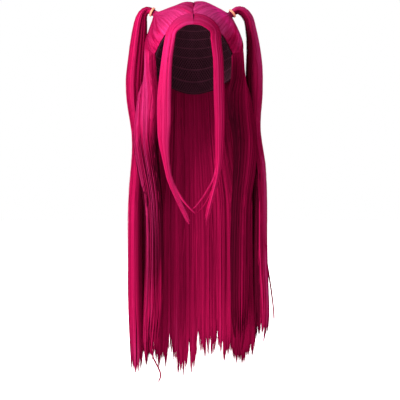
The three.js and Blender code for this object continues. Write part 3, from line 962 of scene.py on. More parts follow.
class Sheet(HairSurface):
    """One face of the back hair, u being from -1 at its left edge to 1 at its right edge."""

    SPAN = 130.0
    TURN = 64.0
    COLUMNS = 121
    ROOT_ROWS = 12
    FALL_ROWS = 64
    LEVEL_SAMPLES = 200
    FIRST_LEVEL = -118.0
    LAST_LEVEL = -722.0
    CLEAR_LEVEL = -170.0
    ROOT_DROP = 104.0
    ROOT_THICK = 12
    ROOT_SHARE = 0.25
    ROOT_RUN = 0.55
    TUCK = 10.0
    EDGE_THINNER = 0.55

    # Turn, drop and thickness along the top of the back hair.
    TOP = np.array([(116, 99, 9), (132, 91, 9), (156, 79, 8), (180, 73, 7)], float)

    # Level, middle, half width, depth at the sides and in the middle, thickness and bend of the hair.
    LEVELS = np.array([
        (-118, 0, 77, 38.5, 105, 13, 1),
        (-140, 0, 80, 38.5, 107, 15, 0.92),
        (-175, 1, 84, 42, 109, 16, 0.7),
        (-212, 2, 87, 45, 110, 16, 0.5),
        (-250, 3, 91, 54, 110, 16, 0.5),
        (-300, 5, 98, 72, 111, 16, 0.6),
        (-366, 7, 110, 87, 111, 15, 0.9),
        (-460, 8, 112, 91, 111, 14, 0.9),
        (-560, 8, 112, 92, 110, 12, 0.9),
        (-640, 8, 111, 98, 108, 8, 1),
        (-722, 8, 110, 98, 107, 4, 1),
    ], float)

    def __init__(self, face: Face) -> None:
        """Works out both faces on a grid and keeps one of them.

        Args:
            face: Face to keep.
        """
        self.span = self.SPAN
        share = np.linspace(-1, 1, self.COLUMNS)[:, None]
        fade = 1 - self.EDGE_THINNER * share**4
        root_inside, root_outside = self.root_grids(share, fade)
        centre, half = self.fall_grids(share, fade)
        inside = np.concatenate([root_inside, centre - half], 1)
        outside = np.concatenate([root_outside, centre + half], 1)
        self.points = outside if face is Face.OUTER else inside
        self.ways = unit(outside - inside) * face.value

    def root_grids(self, share: Array, fade: Array) -> tuple[Array, Array]:
        """Inner and outer grid of the hair that lies on the head.

        Args:
            share: Places across, as a column.
            fade: Share of the thickness there.

        Returns:
            Grids of points, across by down.
        """
        down = np.linspace(0, 1, self.ROOT_ROWS)[None, :]
        turn = 180 - self.TURN * np.abs(share)
        top_drop = np.interp(turn, self.TOP[:, 0], self.TOP[:, 1])
        top_thick = np.interp(turn, self.TOP[:, 0], self.TOP[:, 2])
        drop = top_drop - self.TUCK + (self.ROOT_DROP - top_drop + self.TUCK) * down
        way = HEAD.way(np.where(share < 0, -turn, turn), drop)
        swell = self.ROOT_SHARE + (1 - self.ROOT_SHARE) * ease(down, 0.0, self.ROOT_RUN)
        thick = (top_thick + (self.ROOT_THICK - top_thick) * down) * fade * swell
        return HEAD.point(way, HAIR_FOOT), HEAD.point(way, HAIR_BASE + thick)

    def fall_grids(self, share: Array, fade: Array) -> tuple[Array, Array]:
        """Middle of the hanging hair and the way from there to its outer face.

        Args:
            share: Places across, as a column.
            fade: Share of the thickness there.

        Returns:
            Grids of points and of ways, across by down.
        """
        widest = math.radians(self.TURN)
        angle = widest * share
        sine = np.sin(angle) / math.sin(widest)
        cosine = np.maximum((np.cos(angle) - math.cos(widest)) / (1 - math.cos(widest)), 0)
        level = np.linspace(self.FIRST_LEVEL, self.LAST_LEVEL, self.FALL_ROWS)
        fine = curve_through(self.LEVELS, np.linspace(0, len(self.LEVELS) - 1, self.LEVEL_SAMPLES))
        middle, half, side_y, back_y, deep, bend = (
            np.interp(-level, -fine[:, 0], fine[:, column])[None, :] for column in range(1, 7)
        )
        depth = side_y + (back_y - side_y) * cosine**bend
        centre = np.stack(np.broadcast_arrays(middle + half * sine, depth, level), -1)
        out = np.stack(np.broadcast_arrays(np.sin(angle), np.cos(angle), 0 * angle), -1)
        return centre, out * (deep * fade / 2)[..., None]

    def level_share(self, level: float) -> float:
        """Place from root to tip of a level of the hanging hair."""
        row = (self.FIRST_LEVEL - level) / (self.FIRST_LEVEL - self.LAST_LEVEL) * (self.FALL_ROWS - 1)
        return (self.ROOT_ROWS + row) / (self.ROOT_ROWS + self.FALL_ROWS - 1)

    def across_share(self, x: float) -> float:
        """Place across of a point of the hem."""
        sine = np.clip((x - self.LEVELS[-1, 1]) / self.LEVELS[-1, 2], -1, 1)
        return math.asin(sine * math.sin(math.radians(self.TURN))) / math.radians(self.TURN)

    def place(self, u: Array, v: Array, lift: Array) -> Array:
        """Points on this face.

        Args:
            u: Places across, from -1 to 1.
            v: Places from root, 0, to tip, 1.
            lift: Heights over the face.

        Returns:
            Points with one more axis for X, Y and Z.
        """
        u, v, lift = np.broadcast_arrays(u, v, lift)
        column = np.clip((u + 1) / 2, 0, 1) * (self.points.shape[0] - 1)
        row = np.clip(v, 0, 1) * (self.points.shape[1] - 1)
        left = np.minimum(column.astype(int), self.points.shape[0] - 2)
        upper = np.minimum(row.astype(int), self.points.shape[1] - 2)
        a = (column - left)[..., None]
        b = (row - upper)[..., None]

        def mix(grid: Array) -> Array:
            """Value of a grid between its four nearest corners."""
            high, low = (grid[left, at] * (1 - a) + grid[left + 1, at] * a for at in (upper, upper + 1))
            return high * (1 - b) + low * b

        points = mix(self.points) + mix(self.ways) * lift[..., None]
        return HEAD.keep_outside(points, HAIR_FOOT, self.CLEAR_LEVEL)


@dataclass(frozen=True)
class Fold:
    """Step in a face of hair, crisp at one edge and running out away from it."""

    at: float
    run: float
    depth: float
    first: float = 0.03
    last: float = 0.95
    crisp: float = 0.08
    comes_in: float = 0.12
    goes_out: float = 0.2

    def profile(self, u: Array, v: Array) -> Array:
        """Share of the depth at places on the face.

        Args:
            u: Places across.
            v: Places from root, 0, to tip, 1.

        Returns:
            Shares from 0 to 1.
        """
        away = ((u - self.at + 0.5) % 1 - 0.5) / self.run
        shape = np.where(away < 0, np.clip(1 + away / self.crisp, 0, 1), np.clip(1 - away, 0, 1))
        start = ease(v, self.first, self.first + self.comes_in)
        return shape * start * (1 - ease(v, self.last - self.goes_out, self.last))


class Relief:
    """Uneven rounded locks over a face of hair, with narrow valleys between them."""

    DRIFT = 0.35
    ROUNDING = 0.7
    LEVEL_SHARE = 0.6

    # Waves over the width that bend the valleys, and how far.
    BENDS = ((1, 0.040), (2, 0.028), (3, 0.016))

    def __init__(
        self,
        rng: Random,
        sizes: Valleys,
        span: float = 1.0,
        folds: tuple[Fold, ...] = (),
    ) -> None:
        """Draws where the valleys run.

        Args:
            rng: Source of their places.
            sizes: Number of locks across and depth of the valleys between them, for each size of lock.
            span: Extent of the places across.
            folds: Larger steps in the face.
        """
        self.span = span
        self.folds = folds
        self.layers = [
            (count, depth, rng.random(), rng.uniform(-self.DRIFT, self.DRIFT), rng.random(4))
            for count, depth in sizes
        ]
        self.deepest = sum(depth for _, depth in sizes)

    def drop(self, u: Array, v: Array) -> Array:
        """Depth of places below the top of their lock.

        Args:
            u: Places across.
            v: Places from root, 0, to tip, 1.

        Returns:
            Depths of the same shape.
        """
        total = np.zeros(np.broadcast(u, v).shape)
        share = u / self.span
        for count, depth, start, drift, phase in self.layers:
            bend = sum(
                size * np.sin(2 * math.pi * (order * share + phase[order]) + order * v)
                for order, size in self.BENDS
            )
            wave = np.abs(np.sin(math.pi * (count * (share + bend) + start + drift * v)))
            swell = np.sin(2 * math.pi * (2 * share + phase[0]) + 4 * v)
            uneven = self.LEVEL_SHARE + (1 - self.LEVEL_SHARE) * swell
            total = total + depth * uneven * (1 - wave**self.ROUNDING)
        return total

    def step(self, u: Array, v: Array) -> Array:
        """Depth of the larger steps."""
        flat = np.zeros(np.broadcast(u, v).shape)
        return sum((fold.depth * fold.profile(u, v) for fold in self.folds), flat)


@dataclass(frozen=True)
class Lock:
    """Part of a mass of hair whose strands stay together down to one tip."""

    centre: float
    half: float
    tip: float
    tone: float
    lean: float = 0.0
    split: float = 0.72
    pinch: float = 0.8

    # Limits between which the locks of a ring differ, how far they overlap, and the spread of their tones.
    WIDTHS = (0.7, 1.3)
    SPLITS = (0.66, 0.80)
    PINCHES = (0.5, 0.8)
    OVERLAP = 1.06
    TONE_SPREAD = 0.04

    @classmethod
    def ring(cls, count: int, rng: Random, tips: Pair, tones: Tones) -> list["Lock"]:
        """Locks of uneven width all the way round a tube or outline.

        Args:
            count: Number of locks.
            rng: Source of their differences.
            tips: Lowest and highest place where a lock ends.
            tones: Places round and the tone of the hair there.

        Returns:
            The locks.
        """
        widths = rng.uniform(*cls.WIDTHS, count)
        edges = np.concatenate([[0], np.cumsum(widths / widths.sum())]) + rng.random()
        places, shades = np.array(tones).T
        return [
            cls(
                centre=(low + high) / 2,
                half=(high - low) / 2 * cls.OVERLAP,
                tip=rng.uniform(*tips),
                tone=float(np.interp((low + high) / 2, places, shades, period=1))
                + rng.normal(0, cls.TONE_SPREAD),
                split=rng.uniform(*cls.SPLITS),
                pinch=rng.uniform(*cls.PINCHES),
            )
            for low, high in zip(edges[:-1], edges[1:])
        ]


@dataclass(frozen=True)
class Growth:
    """How strands grow on a face of hair."""

    strands: int
    points: int
    width: float
    depth: float
    groove: float
    feather: float
    root_width: float = 0.6
    early: float = 0.0
    sway: float = 0.6
    first: Pair = (0.0, 0.01)
    root_depth: float = 1.0
    wander: float = 0.06
    thins_from: float = 0.80
    # Darkening of strands in the valleys between locks, as painted shade.
    valley_painted_shade: float = 0.16
    relief_by: float = 0.12

    # Strands in the smallest lock, spread of their places in it, and how far past its edge they may lie.
    FEWEST = 3
    SPREAD = 0.06
    EDGE = 1.08
    GROOVE_EDGE = 1.15

    # Power that keeps most strands shallow, and how strands at a lock's edge, and some others, end early.
    DEEP_POWER = 1.5
    EDGE_POWER = 1.6
    EDGE_SHORT = 0.7
    STRAY_SHORT = 0.6

    # Turns of a strand's swing, swing of one that wanders, and run at the root where both start.
    TURNS = (0.6, 1.8)
    WANDER_SWING = 6.0
    SETTLE = 0.12

    # Place from which relief fades out, least run in which a lock narrows, and least length of a strand.
    RELIEF_FADE = 0.82
    LEAST_RUN = 0.02
    LEAST_LENGTH = 1e-6

    # Step across and rise with which the broad side of a strand is found, and spread of its roll.
    PROBE_STEP = 0.08
    PROBE_RISE = 0.4
    ROLL = 0.20

    # Run over which a strand swells, loss of width at its tip, and limits between which widths differ.
    SWELL_RUN = 0.22
    TIP_LOSS = 0.88
    WIDTHS = (0.75, 1.25)

    # Spread of the tones, how much darker the deepest strands are painted as shade, limits, and least depth
    # of a relief.
    TONE_SPREAD = 0.035
    DEEP_PAINTED_SHADE = 0.15
    TONE_LIMITS = (0.02, 0.98)
    LEAST_RELIEF = 0.1

    def grow(
        self, surface: HairSurface, locks: list[Lock], rng: Random, relief: Relief | None = None
    ) -> Strands:
        """Grows strands in locks on a face of hair.

        Args:
            surface: Face that the strands lie on.
            locks: Locks that share out the face.
            rng: Source of the small differences between strands.
            relief: Uneven locks that the face rises and falls with.

        Returns:
            The strands.
        """
        share = np.array([lock.half for lock in locks])
        counts = np.maximum(np.round(self.strands * share / share.sum()).astype(int), self.FEWEST)
        which = np.repeat(np.arange(len(locks)), counts)
        centre, half, tip, tone, lean, split, pinch = (
            np.array([getattr(lock, name) for lock in locks])[which]
            for name in ("centre", "half", "tip", "tone", "lean", "split", "pinch")
        )
        total = len(which)
        side = np.concatenate([(np.arange(count) + 0.5) / count * 2 - 1 for count in counts])
        side = np.clip(side + rng.normal(0, self.SPREAD, total), -self.EDGE, self.EDGE)
        deep = rng.random(total) ** self.DEEP_POWER
        start = rng.uniform(*self.first, total)
        at_edge = np.abs(side) ** self.EDGE_POWER * self.EDGE_SHORT
        end = tip - self.feather * (at_edge + rng.random(total) ** 2 * self.STRAY_SHORT)
        steps = np.linspace(0, 1, self.points)
        steps = steps * (1 - self.early) + steps**2 * self.early
        v = start[:, None] + (end - start)[:, None] * steps

        phase = rng.random(total)[:, None]
        turns = rng.uniform(*self.TURNS, total)[:, None]
        stray = np.where(rng.random(total) < self.wander, self.WANDER_SWING, 1.0)
        reach = (rng.normal(0, self.sway, total) * stray)[:, None]
        swing = np.sin(2 * math.pi * (turns * v + phase)) * reach
        narrow = ease(v, split[:, None], np.maximum(tip, split + self.LEAST_RUN)[:, None])
        spread = half[:, None] * (1 - pinch[:, None] * narrow)
        settle = ease(v, 0.0, self.SETTLE)

        def across_at(x: Array) -> Array:
            """Places across of all strands, for places in their lock."""
            return centre[:, None] + lean[:, None] * narrow + spread * x + swing * settle / surface.span

        def spot(offset: float, rise: float) -> Array:
            """Points of all strands.

            Args:
                offset: How far they are moved across, as a part of their lock's half width.
                rise: How far they are raised.

            Returns:
                Points with one more axis for X, Y and Z.
            """
            x = side[:, None] + offset
            u = across_at(x)
            dip = self.groove * np.minimum(np.abs(x), self.GROOVE_EDGE) ** 3 * settle
            sink = self.depth * deep[:, None] * (self.root_depth + (1 - self.root_depth) * settle)
            if relief is not None:
                uneven = ease(v, 0.0, self.relief_by) * (1 - ease(v, self.RELIEF_FADE, 1.0))
                dip = dip + relief.drop(u, v) * uneven + relief.step(u, v)
            return surface.place(u, v, rise - dip - sink)

        line = spot(0.0, 0.0)
        along = unit(np.gradient(line, axis=1))
        across = spot(self.PROBE_STEP, 0.0) - spot(-self.PROBE_STEP, 0.0)
        across = unit(across - along * dot(across, along))
        out = np.cross(along, across)
        out = out * np.where(dot(out, spot(0.0, self.PROBE_RISE) - line) < 0, -1.0, 1.0)
        roll = rng.normal(0, self.ROLL, total)[:, None, None]
        out = unit(out * np.cos(roll) + across * np.sin(roll))
        across = np.cross(out, along)

        run = (v - start[:, None]) / np.maximum(end - start, self.LEAST_LENGTH)[:, None]
        swell = self.root_width + (1 - self.root_width) * ease(run, 0.0, self.SWELL_RUN)
        taper = 1 - self.TIP_LOSS * ease(run, self.thins_from, 1.0)
        thick = self.width * rng.uniform(*self.WIDTHS, total)[:, None] * swell * taper
        # Painted shade: deeper strands, and strands in the valleys between locks, are darker.
        shade = (tone + rng.normal(0, self.TONE_SPREAD, total) - self.DEEP_PAINTED_SHADE * deep)[:, None] + 0 * run
        if relief is not None:
            valley = relief.drop(across_at(side[:, None]), v)
            shade = shade - self.valley_painted_shade * valley / max(relief.deepest, self.LEAST_RELIEF)
        return Strands(line, across, out, thick, run, np.clip(shade, *self.TONE_LIMITS))


@dataclass(frozen=True)
class Core:
    """Dark layer under strands that keeps light from passing between them; its dark tone is painted shade.
    """

    columns: int
    rows: int
    along: Pair
    sink: float
    wall: float
    tones: Pair
    tip_sink: float = 0.0
    tip_from: float = 0.70
    across: Pair = (0.0, 1.0)
    closed: bool = True

    def add(self, parts: MeshParts, surface: HairSurface, relief: Relief) -> None:
        """Puts the layer into parts.

        Args:
            parts: Parts of the piece that it belongs to.
            surface: Face that it lies under.
            relief: Steps in the face that it follows.
        """
        across = np.linspace(*self.across, self.columns, endpoint=not self.closed)
        u, v = np.meshgrid(across, np.linspace(*self.along, self.rows), indexing="ij")
        sink = self.sink + relief.step(u, v) + self.tip_sink * ease(v, self.tip_from, self.along[1])
        bottom = surface.place(u, v, -sink - self.wall)
        parts.add_slab(surface.place(u, v, -sink), bottom, self.closed, self.tones)


def hanging_rows(table: Table, side: Side) -> Array:
    """Rows of a tube from a table of x, y, z, width, thick, face and bow.

    Args:
        table: Hanging lock, with the turn of its broad side away from the front in degrees.
        side: Side towards which it turns.

    Returns:
        Rows that a tube takes.
    """
    rows = np.array(table, float)
    angle = np.radians(rows[:, 5])
    facing = np.stack([side.value * np.sin(angle), -np.cos(angle), 0 * angle], 1)
    return np.hstack([rows[:, :5], rows[:, 6:7], facing])


@dataclass
class WigPiece(ABC):
    """Piece of the wig that stands for a node of the frame."""

    name: str
    node: str
    slot: Slot = Slot.HAIR

    @abstractmethod
    def shape(self, parts: MeshParts) -> None:
        """Puts the piece's vertices and faces into parts."""

    def build(self, material: bpy.types.Material) -> bpy.types.Object:
        """Makes the piece, dresses it and lets it ride on the frame.

        Args:
            material: Finish of the piece.

        Returns:
            The new object.
        """
        parts = MeshParts()
        self.shape(parts)
        made = parts.to_object(self.name, material)
        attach(made, BODY)
        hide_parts(self.node)
        triangles = sum(polygon.loop_total - 2 for polygon in made.data.polygons)
        LOG.info("%s: %d triangles", self.name, triangles)
        return made

    def random(self) -> Random:
        """Random numbers of this piece."""
        return random_for(self.name)


# Turn from the front and drop of the rim of the cap, carried on past the front and the nape.
CAP_RIM = np.array([
    (-25, 48), (0, 43), (25, 48), (45, 64), (62, 92), (78, 116),
    (100, 130), (125, 140), (155, 154), (180, 159), (205, 154),
], float)
RIM_SAMPLES = 200


def rim_drop(turn: Array) -> Array:
    """Drop of the cap's rim at turns from the front."""
    fine = curve_through(CAP_RIM, np.linspace(1, len(CAP_RIM) - 2, RIM_SAMPLES))
    return np.interp(np.abs(turn), fine[:, 0], fine[:, 1])


@dataclass
class NetCap(WigPiece):
    """Net cap that fits the head, open at the face and the nape."""

    slot: Slot = Slot.NET
    columns: int = 120
    rows: int = 30
    top_share: float = 0.004
    tones: Pair = (0.0, 1.0)

    def grid(self, lift: float) -> Array:
        """Grid of points on the cap from near its top to its rim.

        Args:
            lift: Height over the head.

        Returns:
            Points, round by down.
        """
        turn = np.linspace(-180, 180, self.columns, endpoint=False)[:, None]
        level = HEAD.crown_height - rim_drop(turn)
        polar = np.linspace(self.top_share, 1, self.rows)[None, :] * np.arccos(level / HEAD.depth(level))
        size = np.where(polar < math.pi / 2, HEAD.crown_height, HEAD.lower_depth)
        way = HEAD.way(turn, HEAD.crown_height - np.cos(polar) * size)
        return HEAD.point(way, lift)

    def shape(self, parts: MeshParts) -> None:
        """Puts the shell into parts."""
        parts.add_slab(self.grid(CAP_WALL), self.grid(0.0), True, self.tones)


@dataclass
class CapBinding(WigPiece):
    """Rounded elastic sewn along the rim of the cap."""

    slot: Slot = Slot.NET
    steps: int = 240
    around: int = 10
    half_wall: float = 0.95
    half_height: float = 1.6

    def shape(self, parts: MeshParts) -> None:
        """Puts the binding into parts.

        Args:
            parts: Parts of this piece.
        """
        turn = np.linspace(-180, 180, self.steps, endpoint=False)
        path = HEAD.point(HEAD.way(turn, rim_drop(turn)), self.half_wall)
        ahead = unit(np.roll(path, -1, 0) - np.roll(path, 1, 0))
        normal = HEAD.normal(path)
        normal = unit(normal - ahead * dot(normal, ahead))
        down = np.cross(ahead, normal)
        sides = oval_sides(normal, down, (self.half_wall, self.half_height), self.around)
        parts.add_tube(path, sides, closed=True)


@dataclass
class HairTie(WigPiece):
    """Elastic cord wound three times round the root of a tail, with its ends tucked in."""

    side: Side = Side.LEFT
    slot: Slot = Slot.ELASTIC
    turns: int = 3
    radius: float = 8.1
    pitch: float = 1.65
    half_width: float = 0.86
    half_wall: float = 1.12
    tuck: float = 0.8
    tuck_run: float = 0.03
    steps: int = 132
    around: int = 12

    def shape(self, parts: MeshParts) -> None:
        """Puts the wound cord into parts.

        Args:
            parts: Parts of this piece.
        """
        seat = TIE_SEATS[self.side]
        first = unit(np.cross(seat.along, [0.0, 1.0, 0.0]))
        second = np.cross(seat.along, first)
        share = np.linspace(0, 1, self.steps)
        angle = 2 * math.pi * self.turns * share
        outward = np.cos(angle)[:, None] * first + np.sin(angle)[:, None] * second
        tuck = self.tuck * (ease(share, 1 - self.tuck_run, 1.0) + 1 - ease(share, 0.0, self.tuck_run))
        height = self.pitch * self.turns * (share - 0.5) * (1 - 1 / self.turns)
        path = seat.middle + outward * (self.radius - tuck)[:, None] + seat.along * height[:, None]
        sides = oval_sides(outward, seat.along, (self.half_wall, self.half_width), self.around)
        parts.add_tube(path, sides, closed=False)


@dataclass
class RingHair(WigPiece):
    """Hair in locks all the way round a tube or outline."""

    side: Side = Side.LEFT
    tones: Tones = ((0.0, 0.6),)
    valleys: Valleys = ()
    lock_count: int = 1
    tips: Pair = (1.0, 1.0)

    def ring(self, rng: Random) -> list[Lock]:
        """Locks of this piece."""
        return Lock.ring(self.lock_count, rng, self.tips, self.tones)


@dataclass
class LongHair(RingHair):
    """Hair that hangs to the hem over a core dark with painted shade, with a few hairs that have come
    loose.
    """

    table: Table = field(default_factory=list)
    folds: tuple[Fold, ...] = ()
    root_tone: float = 0.6
    root_share: float = 0.0
    root_run: Pair = (0.0, 0.1)
    # Painted shade on the lower hair, and painted light towards the tips.
    low_painted_shade: float = 0.0
    low_run: Pair = (0.4, 0.6)
    tip_painted_light: float = 0.0
    tip_run: Pair = (0.8, 1.0)
    growth: Growth = field(kw_only=True)
    others: tuple[Growth, ...] = ()
    core: Core = field(kw_only=True)
    strays: tuple[Table, ...] = ()
    stray_tone: float = 0.6

    # Darkest tone that hair keeps, then width, thickness, face and bow of a stray, its tips and its hairs.
    DARKEST = 0.04
    STRAY_SIZE = (3.0, 2.0, 0, 0)
    STRAY_TIPS = (0.98, 1.0)
    STRAY = Growth(
        strands=10, points=16, width=1.4, depth=0.5, groove=0.0, feather=0.05, root_width=0.8, sway=0.2,
    )

    @abstractmethod
    def tube(self) -> Tube:
        """Face of the hair."""

    def shape(self, parts: MeshParts) -> None:
        """Puts the strands, the core under them and the strays into parts.

        Args:
            parts: Parts of this piece.
        """
        rng = self.random()
        tube = self.tube()
        relief = Relief(rng, self.valleys, folds=self.folds)
        locks = self.ring(rng)
        strands = self.growth.grow(tube, locks, rng, relief)
        near_root = self.root_share * (1 - ease(strands.along, *self.root_run))
        strands.tone = strands.tone + (self.root_tone - strands.tone) * near_root
        # Painted shade low down, then painted light at the tips.
        strands.tint(-self.low_painted_shade, self.low_run, self.DARKEST)
        strands.tint(self.tip_painted_light, self.tip_run)
        parts.add_strands(strands)
        for growth in self.others:
            parts.add_strands(growth.grow(tube, locks, rng))
        self.core.add(parts, tube, relief)
        for points in self.strays:
            thin = Tube(hanging_rows([(*point, *self.STRAY_SIZE) for point in points], Side.RIGHT), 0.0)
            ends = Lock.ring(1, rng, self.STRAY_TIPS, ((0.0, self.stray_tone),))
            parts.add_strands(self.STRAY.grow(thin, ends, rng))


@dataclass
class Crown(RingHair):
    """Hair combed from the part and the outline up to one tie."""

    # Places round the outline, from the front of the part by the temple to the back, and tones.
    tones: Tones = (
        (0.0, 0.88), (0.14, 0.87), (0.21, 0.82), (0.29, 0.73), (0.36, 0.66),
        (0.43, 0.62), (0.57, 0.62), (0.64, 0.64), (0.79, 0.75), (0.93, 0.86),
    )
    valleys: Valleys = ((17, 1.1), (43, 0.65))
    lock_count: int = 26
    # Painted light over the whole piece, and painted shade near the roots of strands that start low on the
    # head.
    painted_light: float = 0.0
    low_painted_shade: float = 0.0
    low_drops: Pair = (48.0, 84.0)
    low_run: Pair = (0.0, 0.36)
    thinner: float = 0.72
    thin_run: Pair = (0.35, 0.97)
    growth: Growth = Growth(
        strands=1300, points=13, width=1.5, depth=1.8, groove=0.25, feather=0.0, root_width=0.8, early=0.45,
        sway=0.5, first=(0.0, 0.03), root_depth=0.9, valley_painted_shade=0.30, relief_by=0.03,
    )
    core: Core = Core(84, 17, along=(0.0, 0.99), sink=2.0, wall=1.0, tones=(0.16, 0.20))

    # Place of the split past the tip, with which locks stay whole.
    WHOLE = 2.0

    def shape(self, parts: MeshParts) -> None:
        """Puts the strands and the layer under them into parts.

        Args:
            parts: Parts of this piece.
        """
        rng = self.random()
        relief = Relief(rng, self.valleys)
        locks = [replace(lock, split=self.WHOLE, pinch=0.0) for lock in self.ring(rng)]
        strands = self.growth.grow(Tent(self.side, PART_GAP), locks, rng, relief)
        strands.width = strands.width * (1 - self.thinner * ease(strands.along, *self.thin_run))
        # Painted shade near low roots, and painted light over the whole piece.
        low_root = ease(-strands.centre[:, :1, 2], *self.low_drops)
        darker = self.low_painted_shade * low_root * (1 - ease(strands.along, *self.low_run))
        strands.tone = strands.tone + self.painted_light - darker
        parts.add_strands(strands)
        self.core.add(parts, Tent(self.side, PART_SEAM), relief)


@dataclass
class Ponytail(LongHair):
    """Long straight tail from its tie to the hem."""

    valleys: Valleys = ((5, 1.2), (13, 0.6))
    lock_count: int = 11
    tips: Pair = (0.92, 1.0)
    low_run: Pair = (0.40, 0.60)
    tip_run: Pair = (0.84, 0.96)
    growth: Growth = Growth(
        strands=600, points=22, width=1.8, depth=1.6, groove=0.3, feather=0.05, root_width=0.32, early=0.6,
        sway=0.9, thins_from=0.88,
    )

    # Hair that fills the tail near its tips, and hairs that stand off it.
    others: tuple[Growth, ...] = (
        Growth(
            strands=110, points=10, width=2.0, depth=9.0, groove=0.0, feather=0.07, sway=1.2,
            first=(0.55, 0.70),
        ),
        Growth(
            strands=26, points=20, width=0.6, depth=-0.8, groove=0.0, feather=0.25, root_width=0.5,
            early=0.6, sway=1.6, first=(0.04, 0.40), wander=0.0,
        ),
    )
    core: Core = Core(28, 40, along=(0.005, 0.90), sink=4.4, wall=1.0, tones=(0.10, 0.14), tip_sink=12)

    def tube(self) -> Tube:
        """Face of the tail, from its tie on.

        Returns:
            The face.
        """
        seat = TIE_SEATS[self.side]
        across = 2 * seat.hair_radius
        neck = [(*(seat.middle + seat.along * reach), across, across) for reach in (seat.gap, seat.neck)]
        return Tube(hanging_rows([(*row, 0, 0) for row in (*neck, *self.table)], Side.RIGHT), 0.0)


@dataclass
class FrontLock(RingHair):
    """Slim lock that starts at the part, runs along the hairline and falls in front."""

    table: Table = field(default_factory=list)
    wisps: list[Table] = field(default_factory=list)
    valleys: Valleys = ((5, 0.8), (13, 0.5))
    lock_count: int = 4
    tips: Pair = (0.975, 1.0)
    wisp_locks: int = 2
    wisp_tips: Pair = (0.95, 1.0)
    lowest: float = -75.0
    root_lighter: float = 0.10
    root_run: Pair = (0.06, 0.24)
    pinch: float = 0.3
    growth: Growth = Growth(
        strands=360, points=26, width=1.4, depth=1.2, groove=0.2, feather=0.03, root_width=0.7, sway=0.5,
        first=(0.0, 0.004), root_depth=0.4, valley_painted_shade=0.20, thins_from=0.93,
    )
    fine: Growth = Growth(
        strands=46, points=14, width=1.1, depth=0.6, groove=0.2, feather=0.06, root_width=0.8,
        thins_from=0.90,
    )
    core: Core = Core(20, 32, along=(0.01, 0.88), sink=2.0, wall=0.6, tones=(0.14, 0.2), tip_sink=4)

    # Turn, drop, width and thickness of the part that lies along the hairline.
    BAND = ((0.35, 36.5, 27, 6), (13, 38.3, 27, 7), (24.5, 45.5, 27, 7.5), (32, 57.5, 24, 8))

    def band_rows(self) -> Array:
        """Rows of a tube for the part that lies on the head.

        Returns:
            Rows that a tube takes.
        """
        band = np.array(self.BAND)
        way = HEAD.way(self.side.value * band[:, 0], band[:, 1])
        centre = HEAD.point(way, HAIR_BASE + band[:, 3] / 2)
        return np.hstack([centre, band[:, 2:], 0 * band[:, :1], HEAD.normal(centre)])

    def fall_rows(self, table: Table) -> Array:
        """Rows of a tube for hair that hangs flat on this side."""
        return hanging_rows([(*row, 0) for row in table], self.side)

    def shape(self, parts: MeshParts) -> None:
        """Puts the strands, the core and the thin ends into parts.

        Args:
            parts: Parts of this piece.
        """
        rng = self.random()
        tube = Tube(np.vstack([self.band_rows(), self.fall_rows(self.table)]), self.lowest)
        relief = Relief(rng, self.valleys)
        locks = [replace(lock, pinch=self.pinch) for lock in self.ring(rng)]
        strands = self.growth.grow(tube, locks, rng, relief)
        strands.tone = strands.tone + self.root_lighter * (1 - ease(strands.along, *self.root_run))
        parts.add_strands(strands)
        self.core.add(parts, tube, relief)
        for wisp in self.wisps:
            thin = Tube(self.fall_rows(wisp), 0.0)
            ends = Lock.ring(self.wisp_locks, rng, self.wisp_tips, self.tones)
            parts.add_strands(self.fine.grow(thin, ends, rng))


@dataclass
class SideHair(LongHair):
    """Loose hair from above and behind an ear."""

    valleys: Valleys = ((7, 1.3), (17, 0.6))
    lock_count: int = 15
    tips: Pair = (0.90, 1.0)
    lowest: float = -130.0
    root_share: float = 0.85
    tip_run: Pair = (0.86, 0.95)
    growth: Growth = Growth(
        strands=640, points=19, width=1.8, depth=1.8, groove=0.3, feather=0.07, root_width=0.7, sway=0.9,
        first=(0.0, 0.03), thins_from=0.88, relief_by=0.03,
    )

    # Hairs that stand off the mass.
    others: tuple[Growth, ...] = (
        Growth(
            strands=24, points=18, width=0.6, depth=-0.8, groove=0.0, feather=0.25, root_width=0.5,
            sway=1.6, first=(0.10, 0.40), wander=0.0,
        ),
    )
    core: Core = Core(
        36, 30, along=(0.06, 0.90), sink=3.0, wall=0.6, tones=(0.08, 0.14), tip_sink=6, tip_from=0.72,
    )
    stray_tone: float = 0.5

    def tube(self) -> Tube:
        """Face of the hair."""
        return Tube(hanging_rows(self.table, self.side), self.lowest)


